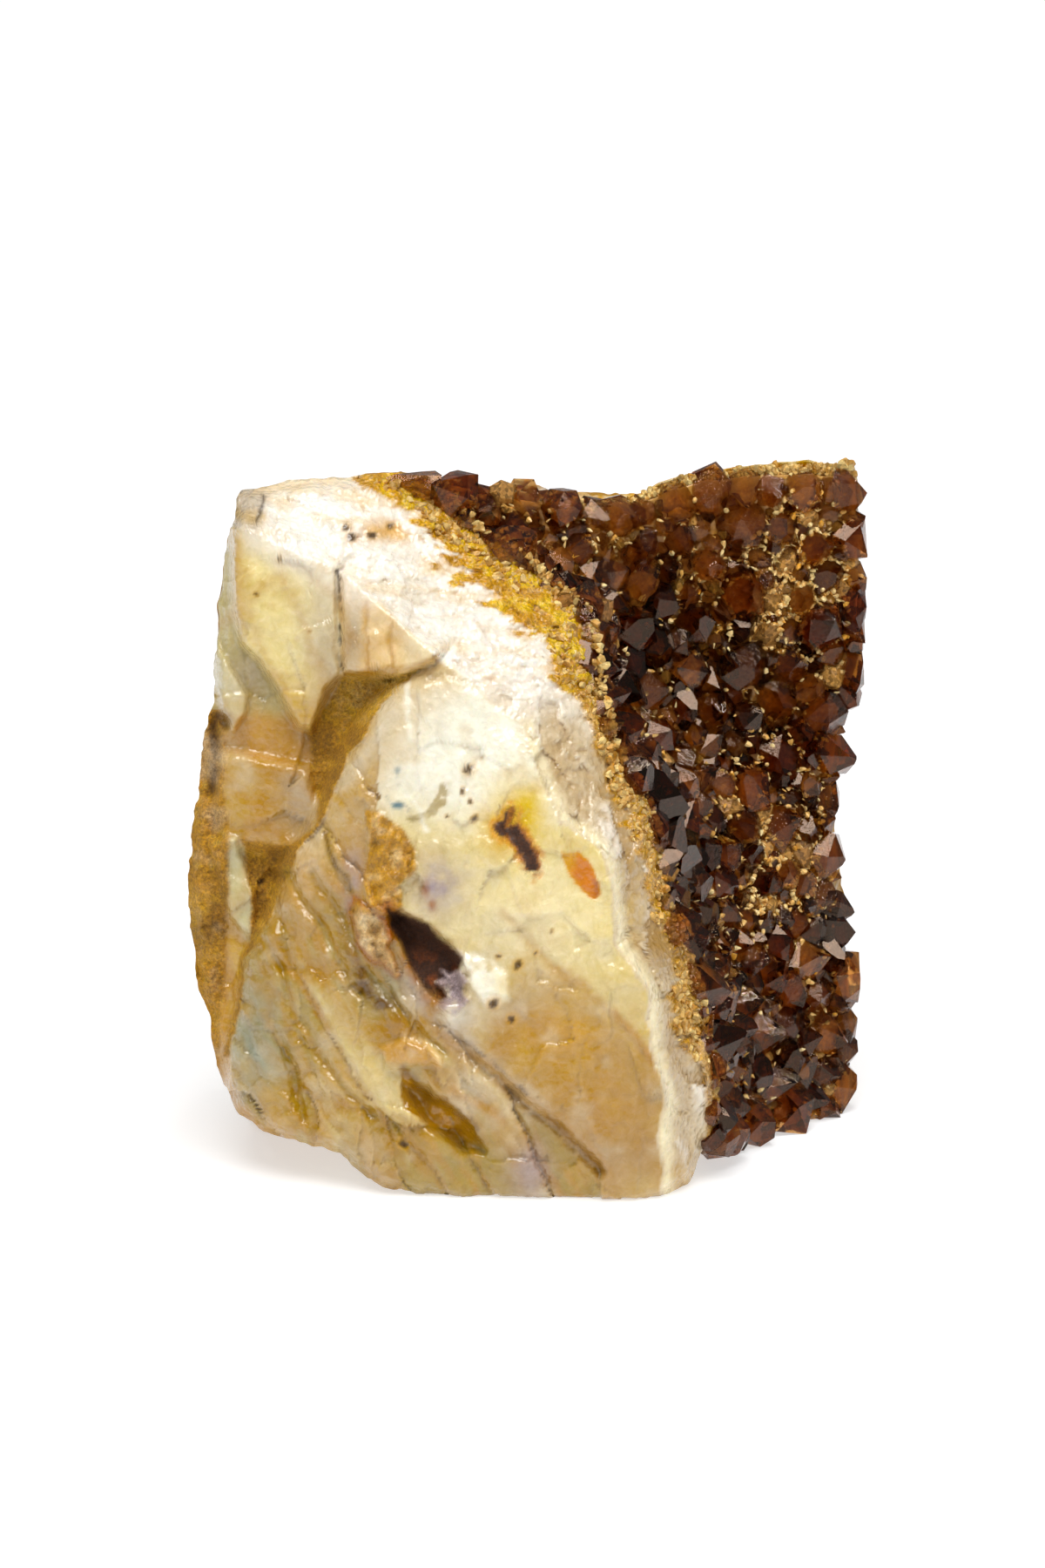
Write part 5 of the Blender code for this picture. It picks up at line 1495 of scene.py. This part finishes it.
def chalcedony(piece):
    """Banded chalcedony, broken: a waxy, slightly see-through stone, stained by iron and earth.

    The stains' colours, with the light and shade painted on the folds, grooves and band, are the piece's own
    attribute.
    Fine noise mottles them, grit speckles the gold, the earth and the rind, and these are rough where the
    broken stone is waxy.
    """
    tree = new_material("broken_chalcedony", piece)
    place = add_node(tree, "ShaderNodeTexCoord").outputs["Object"]
    mottle, sugar, speckle = [
        add_node(tree, "ShaderNodeTexNoise", inputs={
            "Vector": place, "Scale": 1 / (size * MM), "Detail": detail, "Roughness": roughness,
            "Distortion": distortion,
        }).outputs["Fac"] for size, detail, roughness, distortion in STONE_NOISES
    ]
    paint_here, grit, gloss, granular = [
        add_node(tree, "ShaderNodeAttribute", {"attribute_name": name})
        for name in ("paint", "grit", "gloss", "granular")
    ]
    grit, gloss, granular = grit.outputs["Fac"], gloss.outputs["Fac"], granular.outputs["Fac"]
    # Each value's own range, and the range it is carried to
    contrast, shade, strength, rough, grit_height, coat = [
        add_node(tree, "ShaderNodeMapRange", inputs={
            "Value": value, "From Min": low, "From Max": high, "To Min": to_low, "To Max": to_high,
        }).outputs["Result"] for value, low, high, to_low, to_high in (
            (speckle, 0.35, 0.65, 0.66, 1.22), (mottle, 0.3, 0.7, 0.88, 1.07),
            (mottle, 0.3, 0.7, 1.3, 1.08), (gloss, 0.0, 1.0, 0.8, 0.22),
            (grit, 0.0, 1.0, 0.3, 1.0), (gloss, 0.0, 1.0, 0.0, 0.5),
        )
    ]
    gritty = add_node(tree, "ShaderNodeMix", {"data_type": "FLOAT"}, {0: grit, 2: 1.0, 3: contrast})
    speckled = add_node(tree, "ShaderNodeHueSaturation", inputs={
        "Color": paint_here.outputs["Color"], "Value": gritty.outputs[0],
    })
    toned = add_node(tree, "ShaderNodeHueSaturation", inputs={
        "Color": speckled.outputs["Color"], "Value": shade, "Saturation": strength,
    })
    fine_bump = add_node(tree, "ShaderNodeBump", inputs={
        "Height": sugar, "Strength": grit_height, "Distance": 0.2 * MM,
    })
    # Broken quartz grains, which glint on the bright facet, the band and the gold
    grain = add_node(tree, "ShaderNodeTexVoronoi", {"feature": "F1"}, {
        "Vector": place, "Scale": 1 / (QUARTZ_GRAIN * MM), "Randomness": 1.0,
    })
    bump = add_node(tree, "ShaderNodeBump", inputs={
        "Height": grain.outputs["Distance"], "Strength": granular, "Distance": 0.35 * MM,
        "Normal": fine_bump.outputs["Normal"],
    })
    shader = add_node(tree, "ShaderNodeBsdfPrincipled", {"subsurface_method": "RANDOM_WALK"}, {
        "Base Color": toned.outputs["Color"], "Roughness": rough, "IOR": CHALCEDONY_IOR,
        "Subsurface Weight": 0.35, "Subsurface Radius": (1.0, 0.75, 0.45), "Subsurface Scale": 1.5 * MM,
        "Normal": bump.outputs["Normal"], "Coat Weight": coat, "Coat Roughness": 0.05,
        "Coat Normal": bump.outputs["Normal"],
    })
    add_node(tree, "ShaderNodeOutputMaterial", inputs={"Surface": shader.outputs["BSDF"]})


def druse_base(piece):
    """The base of the druse: fine citrine grains, brown in the depths, with bright gold painted on the webs
    between the crystals for the light that glows through there.
    """
    tree = new_material("druse_base", piece)
    place = add_node(tree, "ShaderNodeTexCoord").outputs["Object"]
    sugar = add_node(tree, "ShaderNodeTexNoise", inputs={
        "Vector": place, "Scale": 1 / (DRUSE_GRAIN * MM), "Detail": 3.0,
    }).outputs["Fac"]
    web, edge = [
        add_node(tree, "ShaderNodeAttribute", {"attribute_name": name}).outputs["Fac"]
        for name in ("web", "edge")
    ]
    # Brown grains, then bright gold on the webs, which is painted glow between the crystals, then tan on the
    # crust's broken edge
    colour = linear("#74400E")
    for share, paler in ((sugar, "#D89A38"), (web, "#FFE08A"), (edge, "#C8923C")):
        colour = add_node(tree, "ShaderNodeMix", {"data_type": "RGBA"}, {
            0: share, 6: colour, 7: linear(paler),
        }).outputs[2]
    bump = add_node(tree, "ShaderNodeBump", inputs={
        "Height": sugar, "Strength": 0.5, "Distance": 0.25 * MM,
    })
    shader = add_node(tree, "ShaderNodeBsdfPrincipled", inputs={
        "Base Color": colour, "Roughness": 0.3, "IOR": QUARTZ_IOR, "Normal": bump.outputs["Normal"],
    })
    add_node(tree, "ShaderNodeOutputMaterial", inputs={"Surface": shader.outputs["BSDF"]})


def citrine(piece, name, clearness, density, absorbed, tints, roughness, bump_strength, painted_sparkle):
    """Citrine: glass-like quartz, whose colour comes mostly from what its inside absorbs.

    The less clear it is, the more its colour is that of its own frosted or iron-stained skin.
    """
    tree = new_material(name, piece)
    place = add_node(tree, "ShaderNodeTexCoord").outputs["Object"]
    # Growth lines and etching on the crystal faces
    etching = add_node(tree, "ShaderNodeTexNoise", inputs={
        "Vector": place, "Scale": 1 / (ETCHING * MM), "Detail": 3.0, "Roughness": 0.6,
    })
    bump = add_node(tree, "ShaderNodeBump", inputs={
        "Height": etching.outputs["Fac"], "Strength": bump_strength, "Distance": 0.2 * MM,
    })
    tone = add_node(tree, "ShaderNodeAttribute", {"attribute_name": "tone"}).outputs["Fac"]
    # Frosted patches change a crystal's tint here and there
    cloudy = add_node(tree, "ShaderNodeTexNoise", inputs={
        "Vector": place, "Scale": 1 / (FROSTING * MM), "Detail": 2.0,
    })
    share = add_node(tree, "ShaderNodeMath", {"operation": "ADD"}, {0: tone, 1: cloudy.outputs["Fac"]})
    spread = add_node(tree, "ShaderNodeMapRange", inputs={
        "Value": share.outputs["Value"], "From Min": 0.45, "From Max": 1.55,
    })
    tint = add_node(tree, "ShaderNodeMix", {"data_type": "RGBA"}, {
        0: spread.outputs["Result"], 6: linear(tints[0]), 7: linear(tints[1]),
    })
    # Grains of the etching's size, some much brighter than others: painted sparkle for glints on the faces
    grain = add_node(tree, "ShaderNodeTexVoronoi", {"feature": "F1"}, {
        "Vector": place, "Scale": 1 / (ETCHING * MM), "Randomness": 1.0,
    })
    brightness = add_node(tree, "ShaderNodeMapRange", inputs={
        "Value": grain.outputs["Color"], "From Min": 0.3, "From Max": 0.8,
        "To Min": 1 - 0.5 * painted_sparkle, "To Max": 1 + painted_sparkle,
    })
    grainy = add_node(tree, "ShaderNodeHueSaturation", inputs={
        "Color": tint.outputs[2], "Value": brightness.outputs["Result"],
    })
    shader = add_node(tree, "ShaderNodeBsdfPrincipled", inputs={
        "Base Color": grainy.outputs["Color"], "Roughness": roughness, "IOR": QUARTZ_IOR,
        "Transmission Weight": clearness, "Normal": bump.outputs["Normal"],
        "Specular Tint": linear(REFLECTION_TINT),
    })
    inside_it = add_node(tree, "ShaderNodeVolumeAbsorption", inputs={
        "Color": linear(absorbed), "Density": density,
    })
    add_node(tree, "ShaderNodeOutputMaterial", inputs={
        "Surface": shader.outputs["BSDF"], "Volume": inside_it.outputs["Volume"],
    })


# Camera, floor and light

ROOM_LIGHT = 0.2
KEY_LIGHT = 2.5
KEY_SPREAD = 36.0
KEY_FROM = (0.0, -0.42, 1.0)
# Small bright lamps that glint in crystal faces: place in metres, and watts
GLINT_LAMPS = (
    ((0.45, -0.75, 0.95), 0.8), ((-0.5, -0.6, 0.9), 0.6), ((0.1, 0.1, 1.2), 0.8), ((0.9, -0.5, 0.5), 0.5),
    ((-0.9, -0.5, 0.45), 0.4), ((0.2, -1.2, 0.35), 0.4), ((-0.25, -1.0, 0.75), 0.5), ((0.7, 0.1, 0.9), 0.5),
)
GLINT_LAMP_SIZE = 0.07
# The table in metres from its middle to its edge
TABLE_REACH = 15.0
# It is bright up to a little before the object, and falls off to a darker front
TABLE_WHITE = 0.55
TABLE_GLOW = 0.55
TABLE_FRONT = (-0.5, -0.15)
TABLE_FRONT_SHARE = 0.25


def point_camera():
    """The photograph's view, which the front view is laid out for."""
    tip = np.radians(VIEW_TIP)
    target = np.array([0.0, 0.0, VIEW_TARGET_HEIGHT]) - BASE_MIDDLE
    eye = target - VIEW_DISTANCE * np.array([0.0, np.cos(tip), -np.sin(tip)])
    camera = bpy.data.objects.new("camera", bpy.data.cameras.new("camera"))
    camera.data.lens = LENS_MM
    camera.data.sensor_width = SENSOR_MM
    camera.data.clip_start = 0.01
    camera.location = Vector(eye * MM)
    camera.rotation_mode = "QUATERNION"
    camera.rotation_quaternion = Vector((target - eye) * MM).to_track_quat("-Z", "Y")
    bpy.context.scene.collection.objects.link(camera)
    bpy.context.scene.camera = camera


def hang_lamp(name, kind, place, **settings):
    """A lamp that shines from its place towards the object."""
    lamp = bpy.data.lights.new(name, kind)
    for setting, value in settings.items():
        setattr(lamp, setting, value)
    holder = bpy.data.objects.new(name, lamp)
    holder.location = place
    holder.rotation_mode = "QUATERNION"
    holder.rotation_quaternion = Vector(place).to_track_quat("Z", "Y")
    bpy.context.scene.collection.objects.link(holder)


def make_studio():
    """A wide table lit from below in a bright room, a large soft light above and small lamps that glint."""
    corners = [(x * TABLE_REACH, y * TABLE_REACH, 0) for x, y in ((-1, -1), (1, -1), (1, 1), (-1, 1))]
    mesh = bpy.data.meshes.new("floor")
    mesh.from_pydata(corners, [], [(0, 1, 2, 3)])
    floor = bpy.data.objects.new("floor", mesh)
    bpy.context.scene.collection.objects.link(floor)
    material = bpy.data.materials.new("white_acrylic_light_table")
    material.use_nodes = True
    tree = material.node_tree
    tree.nodes.clear()
    place = add_node(tree, "ShaderNodeTexCoord").outputs["Object"]
    depth = add_node(tree, "ShaderNodeSeparateXYZ", inputs={"Vector": place}).outputs["Y"]
    share = add_node(tree, "ShaderNodeMapRange", {"interpolation_type": "SMOOTHSTEP"}, {
        "Value": depth, "From Min": TABLE_FRONT[0], "From Max": TABLE_FRONT[1], "To Min": TABLE_FRONT_SHARE,
    }).outputs["Result"]
    glow = add_node(tree, "ShaderNodeMath", {"operation": "MULTIPLY"}, {0: share, 1: TABLE_GLOW})
    white = add_node(tree, "ShaderNodeMath", {"operation": "MULTIPLY"}, {0: share, 1: TABLE_WHITE})
    shader = add_node(tree, "ShaderNodeBsdfPrincipled", inputs={
        "Base Color": white.outputs["Value"], "Roughness": 0.7, "Specular IOR Level": 0.2,
        "Emission Color": (1.0, 1.0, 1.0, 1.0), "Emission Strength": glow.outputs["Value"],
    })
    add_node(tree, "ShaderNodeOutputMaterial", inputs={"Surface": shader.outputs["BSDF"]})
    mesh.materials.append(material)

    world = bpy.data.worlds.new("bright_room")
    world.use_nodes = True
    room = world.node_tree.nodes["Background"]
    room.inputs["Color"].default_value = (1.0, 1.0, 1.0, 1.0)
    room.inputs["Strength"].default_value = ROOM_LIGHT
    bpy.context.scene.world = world
    bpy.context.scene.view_settings.view_transform = "Standard"

    hang_lamp("key", "SUN", KEY_FROM, energy=KEY_LIGHT, angle=np.radians(KEY_SPREAD))
    for k, (place, watts) in enumerate(GLINT_LAMPS):
        hang_lamp(f"glint_{k}", "AREA", place, energy=watts, size=GLINT_LAMP_SIZE)


def main():
    """The camera, then every piece with its material, with the solids' pieces they stand for hidden, and the
    studio.
    """
    point_camera()
    stone = make_stone()
    chalcedony(stone)
    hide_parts("chalcedony_matrix")
    crust, crystals, flakes = make_druse()
    druse_base(crust)
    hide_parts("citrine_druse")
    for piece, finish in zip(crystals + [flakes, make_rim_quartz()], FINISHES):
        citrine(piece, *finish)
    make_studio()


main()
